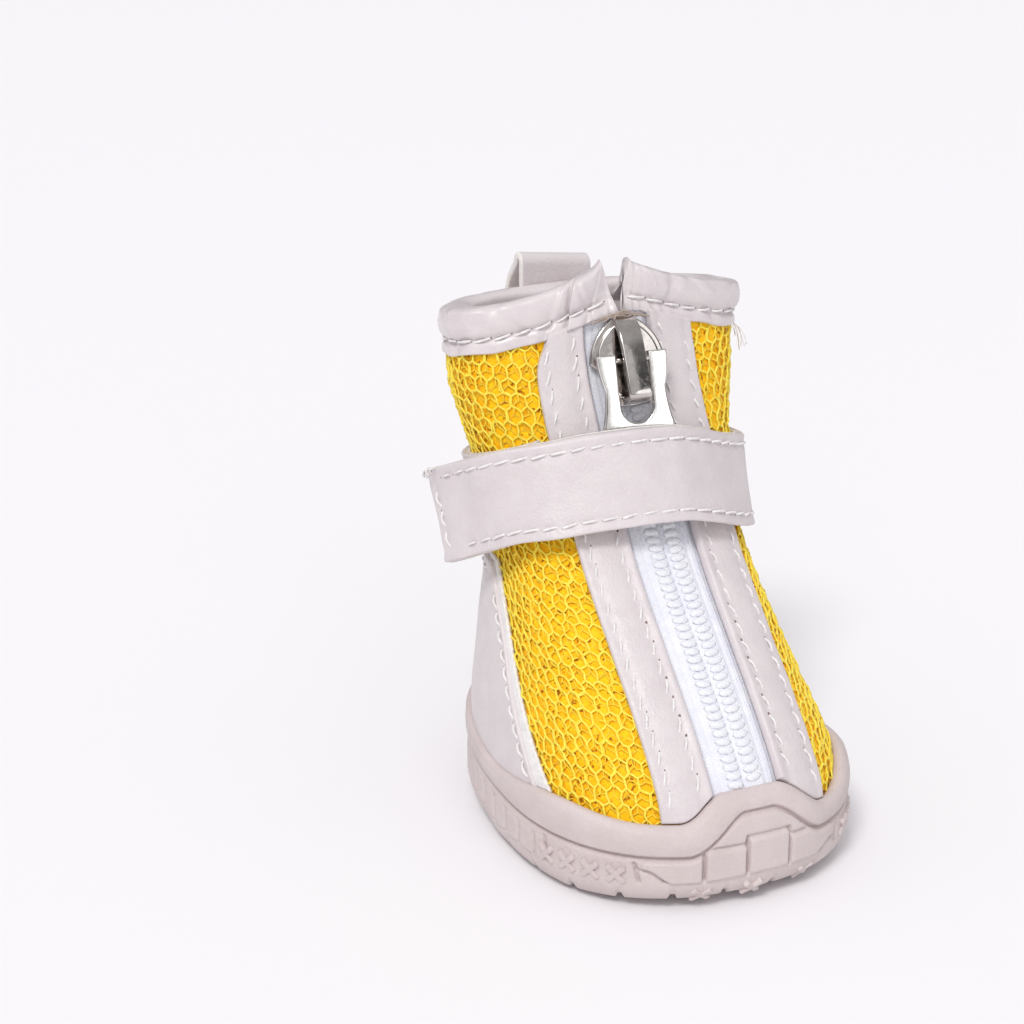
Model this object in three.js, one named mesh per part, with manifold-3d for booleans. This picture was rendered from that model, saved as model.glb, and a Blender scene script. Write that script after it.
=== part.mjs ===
// Dog boot: a cup-soled mesh boot with a front zip, a fastened strap, a bound collar and a
// pull loop. Millimetres, +Z up, toe towards -Y, standing on its tread at Z = 0.
import * as THREE from 'three';
import { mergeVertices } from 'three/addons/utils/BufferGeometryUtils.js';
import Module from 'manifold-3d';

const wasm = await Module();
wasm.setup();

// ---- driving dimensions -------------------------------------------------------------------
const GAP = 0.3;                 // clearance between neighbouring pieces
const WALL = 2.0;                // padded mesh wall of the upper
const OVERLAY = 0.8;             // coated-fabric overlays on the upper

const SOLE_TOE = -31.5;          // foremost point of the sole
const SOLE_HEEL = 31.0;          // rearmost point of the sole
const SOLE_HALF = 24.2;          // half width across the ball of the foot
const SOLE_MID = -4.0;           // where the sole is widest
const SOLE_LEAN = -0.6;          // the sole's slight outward sweep
const LUG = 1.2;                 // tread height
const BASE = 2.2;                // sole plate thickness above the tread
const TOE_SPRING = 1.0;          // rise of the plate at the toe
const HEEL_SPRING = 0.5;
const ARCH = 0.5;                // how far the waist is lifted off the floor
const RAND = 1.6;                // thickness of the cup wall
const FLOOR = LUG + BASE;        // inside of the cup, on the level

const INSOLE = 2.0;
const BUMPER_TOP = 15.6;         // toe bumper, highest point of the rand
const BUMPER_AT = 3;             // its middle, in degrees from the toe
const RAND_TOP = 12.4;           // rand beside the toe bumper

const COLLAR_BACK = 71.0;        // collar edge at the sides and back
const COLLAR_RISE = 6.6;         // extra height of the two front corners
const BINDING_HEIGHT = 6.5;
const BINDING = 0.9;             // thickness of each leg of the binding
const BINDING_EASE = 0.6;        // room between the binding and the wall that it folds over

const ZIP_HALF = 4.4;            // visible half width of the zip
const CHAIN_HALF = 2.8;
const ZIP_BOTTOM = 16.6;
const ZIP_DRIFT = 1.3;           // sideways drift of the zip's top end
const ZIP_TOP = 69.6;
const FACING_OUT = 12.0;         // outer edge of the strips beside the zip
const FACING_IN = 4.9;

const STRAP_WIDTH = 11.6;
const STRAP = 1.5;
const STRAP_Z = 52.3;            // middle height of the strap at the front
const STRAP_LEAN = 1.03;         // upright share of its width on the sloping front

const LOOP_WIDTH = 11.6;
const LOOP_STRIP = 1.1;          // thickness of the loop's strip

// Outside of the upper, as level sections. front and back are the ends along Y, half is the
// half width, mid is where it is widest, lean shifts it sideways, and nose and seat say how
// square the front and the back of the section are.
const LAST = [
  { z: 3, front: -28.6, back: 28.6, half: 22.0, mid: -4.0, lean: -0.6, nose: 2.5, seat: 2.3 },
  { z: 10, front: -29.2, back: 29.0, half: 22.4, mid: -4.0, lean: -0.6, nose: 2.5, seat: 2.3 },
  { z: 15, front: -27.4, back: 28.8, half: 22.0, mid: -3.0, lean: -0.8, nose: 2.5, seat: 2.3 },
  { z: 22, front: -21.6, back: 28.0, half: 20.5, mid: 0.0, lean: -1.2, nose: 2.5, seat: 2.3 },
  { z: 30, front: -13.4, back: 27.0, half: 18.7, mid: 4.0, lean: -1.2, nose: 2.5, seat: 2.3 },
  { z: 38, front: -5.2, back: 26.4, half: 17.4, mid: 9.0, lean: -1.0, nose: 2.6, seat: 2.3 },
  { z: 46, front: 1.0, back: 26.6, half: 17.8, mid: 14.0, lean: -0.7, nose: 2.6, seat: 2.3 },
  { z: 54, front: 5.4, back: 28.0, half: 19.4, mid: 17.5, lean: -0.6, nose: 2.6, seat: 2.4 },
  { z: 61, front: 8.4, back: 29.2, half: 20.8, mid: 19.5, lean: -0.7, nose: 2.7, seat: 2.5 },
  { z: 67, front: 10.4, back: 29.2, half: 20.9, mid: 20.3, lean: -0.5, nose: 2.8, seat: 2.5 },
  { z: 79, front: 12.4, back: 28.2, half: 20.8, mid: 20.5, lean: -0.2, nose: 2.8, seat: 2.5 },
];

// ---- small helpers --------------------------------------------------------------------------
const TURN = 2 * Math.PI;
const rad = (degrees) => (degrees * Math.PI) / 180;
const mix = (a, b, t) => a + (b - a) * t;
const clamp = (t) => Math.min(1, Math.max(0, t));
const ease = (t) => clamp(t) * clamp(t) * (3 - 2 * clamp(t));
// Angle from the toe, brought into -180 to 180 degrees.
const fromToe = (phi) => Math.atan2(Math.sin(phi), Math.cos(phi));
const bump = (angle, centre, width) => Math.exp(-(((angle - centre) / width) ** 2));

// One section of the last at height z, by a smooth curve through the table's rows.
function section(z) {
  const last = LAST.length - 1;
  const height = Math.min(LAST[last].z, Math.max(LAST[0].z, z));
  const i = Math.min(last - 1, LAST.findIndex((row, k) => k === last || height < LAST[k + 1].z));
  const step = LAST[i + 1].z - LAST[i].z;
  const t = (height - LAST[i].z) / step;
  const slope = (key, k) => {
    const a = LAST[Math.max(0, k - 1)];
    const b = LAST[Math.min(last, k + 1)];
    return (b[key] - a[key]) / (b.z - a.z);
  };
  const read = (key) => {
    const startPull = slope(key, i) * step;
    const endPull = slope(key, i + 1) * step;
    const rise = LAST[i + 1][key] - LAST[i][key];
    const curve = (startPull + endPull - 2 * rise) * t + 3 * rise - 2 * startPull - endPull;
    return LAST[i][key] + t * (startPull + t * curve);
  };
  const out = {};
  for (const key of Object.keys(LAST[0])) out[key] = read(key);
  return out;
}

// Point on a section at angle phi from the toe (positive towards +X), grown outwards by grow.
function around(s, phi, grow) {
  const c = Math.cos(phi);
  const q = Math.sin(phi);
  const reach = c > 0 ? s.mid - s.front : s.back - s.mid;
  const power = c > 0 ? s.nose : s.seat;
  const r = (Math.abs(c / reach) ** power + Math.abs(q / s.half) ** power) ** (-1 / power);
  return [s.lean + (r + grow) * q, s.mid - (r + grow) * c];
}

// The upper's own surface: every piece of the upper is cut from this function.
function onLast(phi, z, grow) {
  const [x, y] = around(section(z), phi, grow);
  return new THREE.Vector3(x, y, z);
}

// Direction straight out of the last's surface.
function outward(phi, z) {
  const step = 0.02;
  const across = onLast(phi + step, z, 0).sub(onLast(phi - step, z, 0));
  const upward = onLast(phi, z + 0.2, 0).sub(onLast(phi, z - 0.2, 0));
  return across.cross(upward).normalize();
}

// The zip drifts a little to one side on its way up to the collar.
function zipLine(z) {
  return -ZIP_DRIFT * ease((z - 44) / 20);
}

// The same surface met by its sideways distance x from the zip's line up the front; grow is
// measured straight out of the surface here.
function onFront(x, z, grow) {
  const s = section(z);
  const aim = x + zipLine(z);
  let phi = Math.atan2(aim - s.lean, s.mid - s.front);
  for (let k = 0; k < 12; k += 1) phi += (aim - around(s, phi, 0)[0]) / (s.mid - s.front);
  return onLast(phi, z, 0).addScaledVector(outward(phi, z), grow);
}

const SOLE = {
  front: SOLE_TOE, back: SOLE_HEEL, half: SOLE_HALF, mid: SOLE_MID, lean: SOLE_LEAN,
  nose: 2.4, seat: 2.2,
};

// How far the sole plate is lifted at a given Y: toe spring, heel spring and arch.
function lift(y) {
  const toe = TOE_SPRING * ease((-y - 17) / 14);
  const heel = HEEL_SPRING * ease((y - 21) / 11);
  const arch = ARCH * ease((y + 2) / 6) * ease((14 - y) / 6);
  return toe + heel + arch;
}

// Top edge of the rand: a raised toe bumper, low beside it, fuller at the ball and the heel.
function randTop(phi) {
  const turn = fromToe(phi) * (180 / Math.PI);
  const a = Math.abs(turn);
  const bumper = (BUMPER_TOP - RAND_TOP) * (1 - ease((Math.abs(turn - BUMPER_AT) - 9) / 15));
  const ball = 1.2 * bump(a, 58, 18) - 1.2 * bump(turn, 31, 12);
  return RAND_TOP + bumper + ball - 0.5 * bump(a, 98, 16) + 1.6 * bump(a, 180, 45);
}

// The groove under the rand runs beside it and dives under the toe bumper.
function grooveAt(phi) {
  const turn = fromToe(phi) * (180 / Math.PI);
  const a = Math.abs(turn);
  const bumper = 5.0 * (1 - ease((Math.abs(turn - BUMPER_AT) - 4) / 18));
  return 8.0 + bumper + 0.8 * bump(a, 120, 30) + 1.2 * bump(a, 180, 30);
}

function collarTop(phi) {
  const a = Math.min(Math.abs(fromToe(phi)), rad(110));
  return COLLAR_BACK + COLLAR_RISE * (0.5 + 0.5 * Math.cos((a * 180) / 110));
}

// ---- closed meshes from grids -----------------------------------------------------------------
// Signed volume of a triangle mesh: negative where its faces point inwards.
function volume(positions, triangles) {
  const corner = (k) => new THREE.Vector3().fromArray(positions, 3 * triangles[k]);
  let sum = 0;
  for (let k = 0; k < triangles.length; k += 3) {
    sum += corner(k).dot(corner(k + 1).cross(corner(k + 2))) / 6;
  }
  return sum;
}

function closedMesh(positions, triangles) {
  const geometry = new THREE.BufferGeometry();
  geometry.setAttribute('position', new THREE.Float32BufferAttribute(positions, 3));
  geometry.setIndex(volume(positions, triangles) < 0 ? triangles.toReversed() : triangles);
  return geometry;
}

// A tube of rings: rings[i][j] runs once round the section, closed both ways round j. With
// joined true the rings close on themselves, otherwise flat caps end the tube.
function tube(rings, joined) {
  const n = rings[0].length;
  const positions = rings.flat().flatMap((p) => [p.x, p.y, p.z]);
  const triangles = [];
  const spans = joined ? rings.length : rings.length - 1;
  for (let i = 0; i < spans; i += 1) {
    for (let j = 0; j < n; j += 1) {
      const a = i * n + j;
      const b = i * n + ((j + 1) % n);
      const c = ((i + 1) % rings.length) * n + ((j + 1) % n);
      const d = ((i + 1) % rings.length) * n + j;
      triangles.push(a, b, c, a, c, d);
    }
  }
  if (!joined) {
    for (const [a, b, c] of capOf(rings[0])) triangles.push(a, c, b);
    const end = (rings.length - 1) * n;
    for (const [a, b, c] of capOf(rings[rings.length - 1])) {
      triangles.push(end + a, end + b, end + c);
    }
  }
  return closedMesh(positions, triangles);
}

// Triangles over one ring, found in the plane that the ring lies nearest to.
function capOf(ring) {
  const normal = new THREE.Vector3();
  ring.forEach((p, k) => {
    const q = ring[(k + 1) % ring.length];
    normal.x += (p.y - q.y) * (p.z + q.z);
    normal.y += (p.z - q.z) * (p.x + q.x);
    normal.z += (p.x - q.x) * (p.y + q.y);
  });
  normal.normalize();
  const turn = new THREE.Quaternion().setFromUnitVectors(normal, new THREE.Vector3(0, 0, 1));
  const flat = ring.map((p) => {
    const q = p.clone().applyQuaternion(turn);
    return new THREE.Vector2(q.x, q.y);
  });
  return THREE.ShapeUtils.triangulateShape(flat, []);
}

// A slab on a surface: place(u, v, grow) is the surface, low and high are its two faces.
function slab(columns, rows, place, low, high) {
  const rings = [];
  for (let j = 0; j <= rows; j += 1) {
    const ring = [];
    for (let i = 0; i <= columns; i += 1) ring.push(place(i / columns, j / rows, high));
    for (let i = columns; i >= 0; i -= 1) ring.push(place(i / columns, j / rows, low));
    rings.push(ring);
  }
  return stitched(rings, columns);
}

// Rings of a slab: the caps are strips between the slab's two faces.
function stitched(rings, columns) {
  const n = rings[0].length;
  const positions = rings.flat().flatMap((p) => [p.x, p.y, p.z]);
  const triangles = [];
  for (let j = 0; j < rings.length - 1; j += 1) {
    for (let i = 0; i < n; i += 1) {
      const a = j * n + i;
      const b = j * n + ((i + 1) % n);
      triangles.push(a, b, b + n, a, b + n, a + n);
    }
  }
  const end = (rings.length - 1) * n;
  for (let i = 0; i < columns; i += 1) {
    const back = n - 1 - i;
    triangles.push(i, back, back - 1, i, back - 1, i + 1);
    triangles.push(end + i, end + back - 1, end + back, end + i, end + i + 1, end + back - 1);
  }
  return closedMesh(positions, triangles);
}

// Rings around the Z axis between a lower and an upper pole: a bowl or a plate.
function bowl(rings, start, finish) {
  const n = rings[0].length;
  const points = [...rings.flat(), start, finish];
  const positions = points.flatMap((p) => [p.x, p.y, p.z]);
  const triangles = [];
  const first = points.length - 2;
  const final = points.length - 1;
  for (let j = 0; j < n; j += 1) {
    const k = (j + 1) % n;
    triangles.push(first, k, j);
    const end = (rings.length - 1) * n;
    triangles.push(final, end + j, end + k);
    for (let i = 0; i < rings.length - 1; i += 1) {
      triangles.push(i * n + j, i * n + k, (i + 1) * n + k);
      triangles.push(i * n + j, (i + 1) * n + k, (i + 1) * n + j);
    }
  }
  return closedMesh(positions, triangles);
}

// ---- solids -----------------------------------------------------------------------------------
function solid(geometry) {
  const bare = geometry.clone();
  for (const name of Object.keys(bare.attributes)) {
    if (name !== 'position') bare.deleteAttribute(name);
  }
  const merged = mergeVertices(bare, 1e-4);
  return new wasm.Manifold(new wasm.Mesh({
    numProp: 3,
    vertProperties: new Float32Array(merged.attributes.position.array),
    triVerts: new Uint32Array(merged.index.array),
  }));
}

function geometryOf(manifold) {
  const mesh = manifold.getMesh();
  const geometry = new THREE.BufferGeometry();
  const positions = new Float32Array(mesh.vertProperties);
  geometry.setAttribute('position', new THREE.BufferAttribute(positions, 3));
  geometry.setIndex(new THREE.BufferAttribute(new Uint32Array(mesh.triVerts), 1));
  return geometry;
}

// Turns a shape drawn in X and Y into the YZ plane, with its depth along X.
const ACROSS = new THREE.Matrix4().makeBasis(
  new THREE.Vector3(0, 1, 0), new THREE.Vector3(0, 0, 1), new THREE.Vector3(1, 0, 0),
);

// The origin is under the middle of the boot's footprint, the loop behind it included.
const boot = new THREE.Group();
boot.position.set(1.1, -3.6, 0);

function addPiece(name, geometry, colour, roughness, metalness = 0, parent = boot) {
  const material = new THREE.MeshStandardMaterial({ color: colour, roughness, metalness });
  const mesh = new THREE.Mesh(geometry, material);
  mesh.name = name;
  mesh.geometry.computeVertexNormals();
  parent.add(mesh);
  return mesh;
}

const COATED = 0xd8ccd0;
const MESH_YELLOW = 0xffc61a;
const RUBBER = 0xcdbfc0;
const FELT = 0xf1eee6;
const NYLON = 0xf4f5fb;
const NICKEL = 0xb9b2ac;

// ---- outsole ------------------------------------------------------------------------------------
const SOLE_STEPS = 48;
const EDGE_TUCK = 2.0;           // how far the plate's edge is rounded in underneath

function soleRing(place) {
  return Array.from({ length: SOLE_STEPS }, (_, k) => place((k / SOLE_STEPS) * TURN));
}

// A ring on the sole's outline, drawn in by inset and at height z above the lifted plate.
function outlineRing(inset, z) {
  return soleRing((phi) => {
    const [x, y] = around(SOLE, phi, -inset);
    return new THREE.Vector3(x, y, z + lift(y));
  });
}

// A ring across the plate at a part of the outline's size.
function plateRing(share, inset, z) {
  return soleRing((phi) => {
    const [x, y] = around(SOLE, phi, -inset);
    const px = mix(SOLE_LEAN, x, share);
    const py = mix(SOLE_MID, y, share);
    return new THREE.Vector3(px, py, z + lift(py));
  });
}

// The rand leans from the sole's outline onto the upper. height(phi) is its Z.
function randRing(height, inset) {
  return soleRing((phi) => {
    const z = height(phi);
    const [sx, sy] = around(SOLE, phi, -inset);
    const over = onLast(phi, z, GAP + RAND - inset);
    const t = ease((z - 8) / 7);
    return new THREE.Vector3(mix(sx, over.x, t), mix(sy, over.y, t), z);
  });
}

function cupRing(height, grow) {
  return soleRing((phi) => onLast(phi, height(phi), grow));
}

function cup() {
  const rings = [
    plateRing(0.33, EDGE_TUCK, LUG),
    plateRing(0.66, EDGE_TUCK, LUG),
    outlineRing(EDGE_TUCK, LUG),
    outlineRing(0.7, LUG + 0.7),
    outlineRing(0.15, LUG + 2.0),
    randRing((phi) => grooveAt(phi) - 0.9, 0),
    randRing((phi) => grooveAt(phi), 0.6),
    randRing((phi) => grooveAt(phi) + 0.7, 0),
    randRing((phi) => randTop(phi) - 0.8, 0),
    randRing((phi) => randTop(phi), 0.6),
    cupRing((phi) => randTop(phi) - 0.1, GAP),
    cupRing((phi) => mix(FLOOR, randTop(phi), 0.8), GAP),
    cupRing((phi) => mix(FLOOR, randTop(phi), 0.55), GAP),
    cupRing((phi) => mix(FLOOR, randTop(phi), 0.3), GAP),
    soleRing((phi) => {
      const foot = onLast(phi, FLOOR, GAP);
      return foot.setZ(FLOOR + lift(foot.y));
    }),
    plateRing(0.66, EDGE_TUCK, FLOOR),
    plateRing(0.33, EDGE_TUCK, FLOOR),
  ];
  const low = new THREE.Vector3(SOLE_LEAN, SOLE_MID, LUG + lift(SOLE_MID));
  const high = new THREE.Vector3(SOLE_LEAN, SOLE_MID, FLOOR + lift(SOLE_MID));
  return bowl(rings, low, high);
}

// Tread: crosses in five lanes, wherever a whole cross fits inside the outline, with the middle
// of the waist left bare.
const LANES = [-18.4, -9.2, 0, 9.2, 18.4];
const CROSS_PITCH = 6.6;
const CROSS_ARM = 4.8;
const CROSS_BAR = 1.1;
const CROSS_ROOM = 3.6;          // least distance from a cross's centre to the outline
const BARE = { half: 5.5, from: -4.0, to: 8.0 };

function crossAt(x, y) {
  const bar = (angle) => {
    const box = new THREE.BoxGeometry(CROSS_ARM, CROSS_BAR, LUG + 0.6);
    box.rotateZ(angle);
    box.translate(x, y, (LUG + 0.6) / 2 + lift(y));
    return solid(box);
  };
  return bar(rad(45)).add(bar(rad(-45)));
}

function crossFits(x, y) {
  const phi = Math.atan2(x, SOLE_MID - y);
  const [ex, ey] = around(SOLE, phi, -CROSS_ROOM);
  const bare = Math.abs(x) < BARE.half && y > BARE.from && y < BARE.to;
  return !bare && Math.hypot(x, y - SOLE_MID) < Math.hypot(ex - SOLE_LEAN, ey - SOLE_MID);
}

function outsole() {
  let body = solid(cup());
  const first = Math.ceil(SOLE_TOE / CROSS_PITCH);
  const last = Math.floor(SOLE_HEEL / CROSS_PITCH);
  for (const x of LANES) {
    for (let k = first; k <= last; k += 1) {
      const y = k * CROSS_PITCH;
      if (crossFits(x, y)) body = body.add(crossAt(x + SOLE_LEAN, y));
    }
  }
  return geometryOf(body);
}

addPiece('outsole', outsole(), RUBBER, 0.62);

// ---- insole -------------------------------------------------------------------------------------
function insole() {
  const ring = (share, base) => soleRing((phi) => {
    const rim = onLast(phi, base + 1, -(WALL + GAP));
    const x = mix(SOLE_LEAN, rim.x, share);
    const y = mix(SOLE_MID, rim.y, share);
    return new THREE.Vector3(x, y, base + lift(y));
  });
  const low = FLOOR + GAP * 2;
  const high = low + INSOLE;
  const rings = [
    ring(0.33, low), ring(0.66, low), ring(1, low),
    ring(1, high), ring(0.66, high), ring(0.33, high),
  ];
  const lowest = new THREE.Vector3(SOLE_LEAN, SOLE_MID, low + lift(SOLE_MID));
  const highest = new THREE.Vector3(SOLE_LEAN, SOLE_MID, high + lift(SOLE_MID));
  return bowl(rings, lowest, highest);
}

addPiece('insole', insole(), FELT, 0.95);

// ---- upper --------------------------------------------------------------------------------------
const UPPER_STEPS = 44;
const UPPER_ROWS = 13;
const SPRING_FADE = 14;          // height by which the toe spring no longer lifts the upper

function upperWall(phi, v, grow) {
  const z = mix(FLOOR + GAP, collarTop(phi) - BINDING - GAP, v);
  const raise = lift(onLast(phi, z, grow).y) * (1 - ease((z - FLOOR) / SPRING_FADE));
  return onLast(phi, z + raise, grow);
}

function upperShell() {
  const face = (grow) => {
    const rings = [];
    for (let j = 0; j <= UPPER_ROWS; j += 1) {
      const ring = [];
      for (let i = 0; i < UPPER_STEPS; i += 1) {
        ring.push(upperWall((i / UPPER_STEPS) * TURN, j / UPPER_ROWS, grow));
      }
      rings.push(ring);
    }
    return rings;
  };
  return solid(tube([...face(0), ...face(-WALL).reverse()], true));
}

// The throat: the slot in the front of the upper that the zip closes.
function throat() {
  const place = (u, v, grow) => {
    const x = mix(-1, 1, u) * (ZIP_HALF + GAP);
    return onFront(x, mix(ZIP_BOTTOM - GAP, LAST[LAST.length - 1].z, v), grow);
  };
  return solid(slab(4, 24, place, -WALL * 2, WALL * 2));
}

addPiece('upper', geometryOf(upperShell().subtract(throat())), MESH_YELLOW, 0.9);

// ---- heel quarter -------------------------------------------------------------------------------
const QUARTER_TOP = 36.5;
const QUARTER_EDGE = [
  { z: 12, y: -12.5 },
  { z: QUARTER_TOP, y: 11.5 },
];

// Angle at which the quarter's front edge crosses the last at height z.
function quarterPhi(z) {
  const t = (z - QUARTER_EDGE[0].z) / (QUARTER_EDGE[1].z - QUARTER_EDGE[0].z);
  const y = mix(QUARTER_EDGE[0].y, QUARTER_EDGE[1].y, t);
  const s = section(z);
  return Math.atan2(s.half, s.mid - y);
}

function quarter() {
  const place = (u, v, grow) => {
    let z = mix(RAND_TOP, QUARTER_TOP, v);
    let phi = 0;
    for (let k = 0; k < 6; k += 1) {
      phi = mix(quarterPhi(z), TURN - quarterPhi(z), u);
      z = mix(randTop(phi) + GAP * 2, QUARTER_TOP, v);
    }
    return onLast(phi, z, grow);
  };
  return slab(32, 6, place, GAP, GAP + OVERLAY);
}

addPiece('quarter', quarter(), COATED, 0.5);

// ---- zip and its facings ------------------------------------------------------------------------
// Cross-section of the closed zip: tape at each side, the toothed chain standing up between.
const ZIP_PROFILE = [
  { x: -ZIP_HALF, grow: -0.7 },
  { x: -CHAIN_HALF, grow: -0.7 },
  { x: -CHAIN_HALF + 0.4, grow: 0.6 },
  { x: CHAIN_HALF - 0.4, grow: 0.6 },
  { x: CHAIN_HALF, grow: -0.7 },
  { x: ZIP_HALF, grow: -0.7 },
  { x: ZIP_HALF, grow: -1.5 },
  { x: -ZIP_HALF, grow: -1.5 },
];

function zipTape() {
  const steps = 20;
  const rings = [];
  for (let j = 0; j <= steps; j += 1) {
    const z = mix(ZIP_BOTTOM + GAP, ZIP_TOP, j / steps);
    rings.push(ZIP_PROFILE.map((p) => onFront(p.x, z, p.grow)));
  }
  return tube(rings, false);
}

addPiece('zip_tape', zipTape(), NYLON, 0.6);

function facing(side) {
  const place = (u, v, grow) => {
    const x = side * mix(FACING_IN, FACING_OUT, side > 0 ? u : 1 - u);
    const low = randTop(Math.atan2(x, 24)) + GAP * 3;
    const high = collarTop(Math.atan2(x + zipLine(ZIP_TOP), 9.5)) - BINDING_HEIGHT - GAP * 3;
    return onFront(x, mix(low, high, v), grow);
  };
  return slab(3, 18, place, GAP, GAP + OVERLAY);
}

addPiece('facing_left', facing(-1), COATED, 0.5);
addPiece('facing_right', facing(1), COATED, 0.5);

// ---- collar binding -----------------------------------------------------------------------------
// Folded over the collar edge: leg outside, crest, leg inside. drop is measured down from the
// collar's top edge.
const BINDING_PROFILE = [
  { grow: BINDING_EASE, drop: BINDING_HEIGHT },
  { grow: BINDING_EASE + BINDING, drop: BINDING_HEIGHT },
  { grow: BINDING_EASE + BINDING + 0.3, drop: BINDING_HEIGHT * 0.5 },
  { grow: BINDING_EASE + BINDING * 0.6, drop: 0.5 },
  { grow: -WALL / 2, drop: 0 },
  { grow: -WALL - BINDING * 0.6, drop: 0.5 },
  { grow: -WALL - BINDING_EASE - BINDING, drop: BINDING_HEIGHT * 0.5 },
  { grow: -WALL - BINDING_EASE - BINDING, drop: BINDING_HEIGHT * 0.9 },
  { grow: -WALL - BINDING_EASE, drop: BINDING_HEIGHT * 0.9 },
  { grow: -WALL - BINDING_EASE, drop: BINDING },
  { grow: BINDING_EASE, drop: BINDING },
];
const NOTCH_TOP = 2.4;           // half width of the gap between the two front corners
const NOTCH_FOOT = 0.5;
const NOTCH_AT = rad(-3);

function collarBinding() {
  const steps = 46;
  const rings = [];
  for (let i = 0; i <= steps; i += 1) {
    rings.push(BINDING_PROFILE.map((p) => {
      const half = mix(NOTCH_TOP, NOTCH_FOOT, p.drop / BINDING_HEIGHT);
      const open = Math.atan2(half, 9);
      const phi = NOTCH_AT + mix(open, TURN - open, i / steps);
      return onLast(phi, collarTop(phi) - p.drop, p.grow);
    }));
  }
  return tube(rings, false);
}

addPiece('collar_binding', collarBinding(), COATED, 0.45);

// ---- strap --------------------------------------------------------------------------------------
// Its course round the shaft: turn is the angle from the toe (it starts at the left front, goes
// round the back and the right, crosses the front and laps over its own start), grow is the
// distance of its lower edge from the last, flare is how much further its top edge stands off,
// and dip lowers it.
const STRAP_COURSE = [
  { turn: -52, grow: 0.4, flare: 0.0, dip: 3.2 },
  { turn: -100, grow: 0.4, flare: 0.0, dip: 8.0 },
  { turn: -180, grow: 0.4, flare: 0.0, dip: 9.4 },
  { turn: -240, grow: 0.4, flare: 0.0, dip: 9.0 },
  { turn: -285, grow: 0.6, flare: 0.0, dip: 7.4 },
  { turn: -312, grow: 1.6, flare: 0.2, dip: 5.0 },
  { turn: -335, grow: 4.2, flare: 0.7, dip: 2.5 },
  { turn: -350, grow: 5.2, flare: 1.2, dip: 1.1 },
  { turn: -368, grow: 5.2, flare: 1.2, dip: 0.8 },
  { turn: -390, grow: 4.2, flare: 0.6, dip: 1.5 },
  { turn: -420, grow: 2.6, flare: 0.1, dip: 3.6 },
  { turn: -442, grow: 3.2, flare: 0.0, dip: 6.6 },
  { turn: -462, grow: 6.2, flare: 0.0, dip: 9.8 },
];

function strapCourse(t) {
  const place = t * (STRAP_COURSE.length - 1);
  const i = Math.min(STRAP_COURSE.length - 2, Math.floor(place));
  const out = {};
  for (const key of Object.keys(STRAP_COURSE[0])) {
    out[key] = mix(STRAP_COURSE[i][key], STRAP_COURSE[i + 1][key], place - i);
  }
  return out;
}

function strap() {
  const steps = 62;
  const rings = [];
  for (let i = 0; i <= steps; i += 1) {
    const at = strapCourse(i / steps);
    const phi = rad(at.turn);
    const upright = STRAP_WIDTH * mix(1, STRAP_LEAN, clamp(Math.cos(phi)));
    const low = STRAP_Z - at.dip - upright / 2;
    const edge = (v, depth) => onLast(phi, low + upright * v, at.grow + at.flare * v + depth);
    rings.push([
      edge(0, 0), edge(0, STRAP), edge(0.5, STRAP), edge(1, STRAP), edge(1, 0), edge(0.5, 0),
    ]);
  }
  return tube(rings, false);
}

addPiece('strap', strap(), COATED, 0.45);

// ---- pull loop ----------------------------------------------------------------------------------
// A strip folded into a loop behind the collar, both ends sewn down at its foot.
const LOOP_FOOT = 55.0;
const LOOP_TOP = 74.0;
const LOOP_DEPTH = 7.4;          // at its belly
const LOOP_BELLY = 64.0;
const LOOP_FOLD = 2.0;           // outer radius of the fold at the top
const LOOP_SET = 2.5;            // how far the sewn foot steps in to the wall under the binding

// A drop shape standing up from its foot, extruded across the strip's width; inset thins it on
// every side. The shape's X becomes world Y, its Y world Z, and the depth runs along X.
function drop(inset, foot, set, width) {
  const fold = LOOP_FOLD - inset;
  const belly = LOOP_DEPTH - inset;
  const shape = new THREE.Shape();
  shape.moveTo(inset - set, foot);
  shape.lineTo(inset, foot + 6);
  shape.lineTo(inset, LOOP_TOP - LOOP_FOLD);
  shape.absarc(LOOP_FOLD, LOOP_TOP - LOOP_FOLD, fold, Math.PI, 0, true);
  shape.quadraticCurveTo(belly, LOOP_BELLY + 5, belly, LOOP_BELLY);
  shape.quadraticCurveTo(belly, mix(foot, LOOP_BELLY, 0.4), 3.0 - inset - set, foot);
  const geometry = new THREE.ExtrudeGeometry(shape, {
    depth: width, bevelEnabled: false, curveSegments: 7,
  });
  geometry.applyMatrix4(ACROSS);
  geometry.translate(-width / 2, 0, 0);
  return geometry;
}

function pullLoop() {
  const outer = drop(0, LOOP_FOOT, LOOP_SET, LOOP_WIDTH);
  const inner = drop(LOOP_STRIP, LOOP_FOOT + 4, 0, LOOP_WIDTH + 2);
  const geometry = geometryOf(solid(outer).subtract(solid(inner)));
  geometry.translate(section(67).lean, section(LOOP_BELLY).back + BINDING + GAP * 3, 0);
  return geometry;
}

addPiece('pull_loop', pullLoop(), COATED, 0.5);

// ---- zip slider and its pull --------------------------------------------------------------------
// Both sit in a frame on the front of the shaft: X across, Y up the slope, Z straight out.
const SLIDER_Z = 64.2;           // height of the slider's widest place
const SLIDER_ASIDE = 0.4;        // it hangs a little to one side of the chain
const SLIDER_HALF = 5.4;
const SLIDER_PLATE = 1.3;
const SLIDER_OUT = 1.4;          // underside of the slider's plate above the last
const PULL_THICK = 1.2;
const PULL_LENGTH = 16.0;
const PULL_HALF = 5.0;
const PULL_DROOP = rad(1.2);     // the pull leans in to follow the zip

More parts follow.
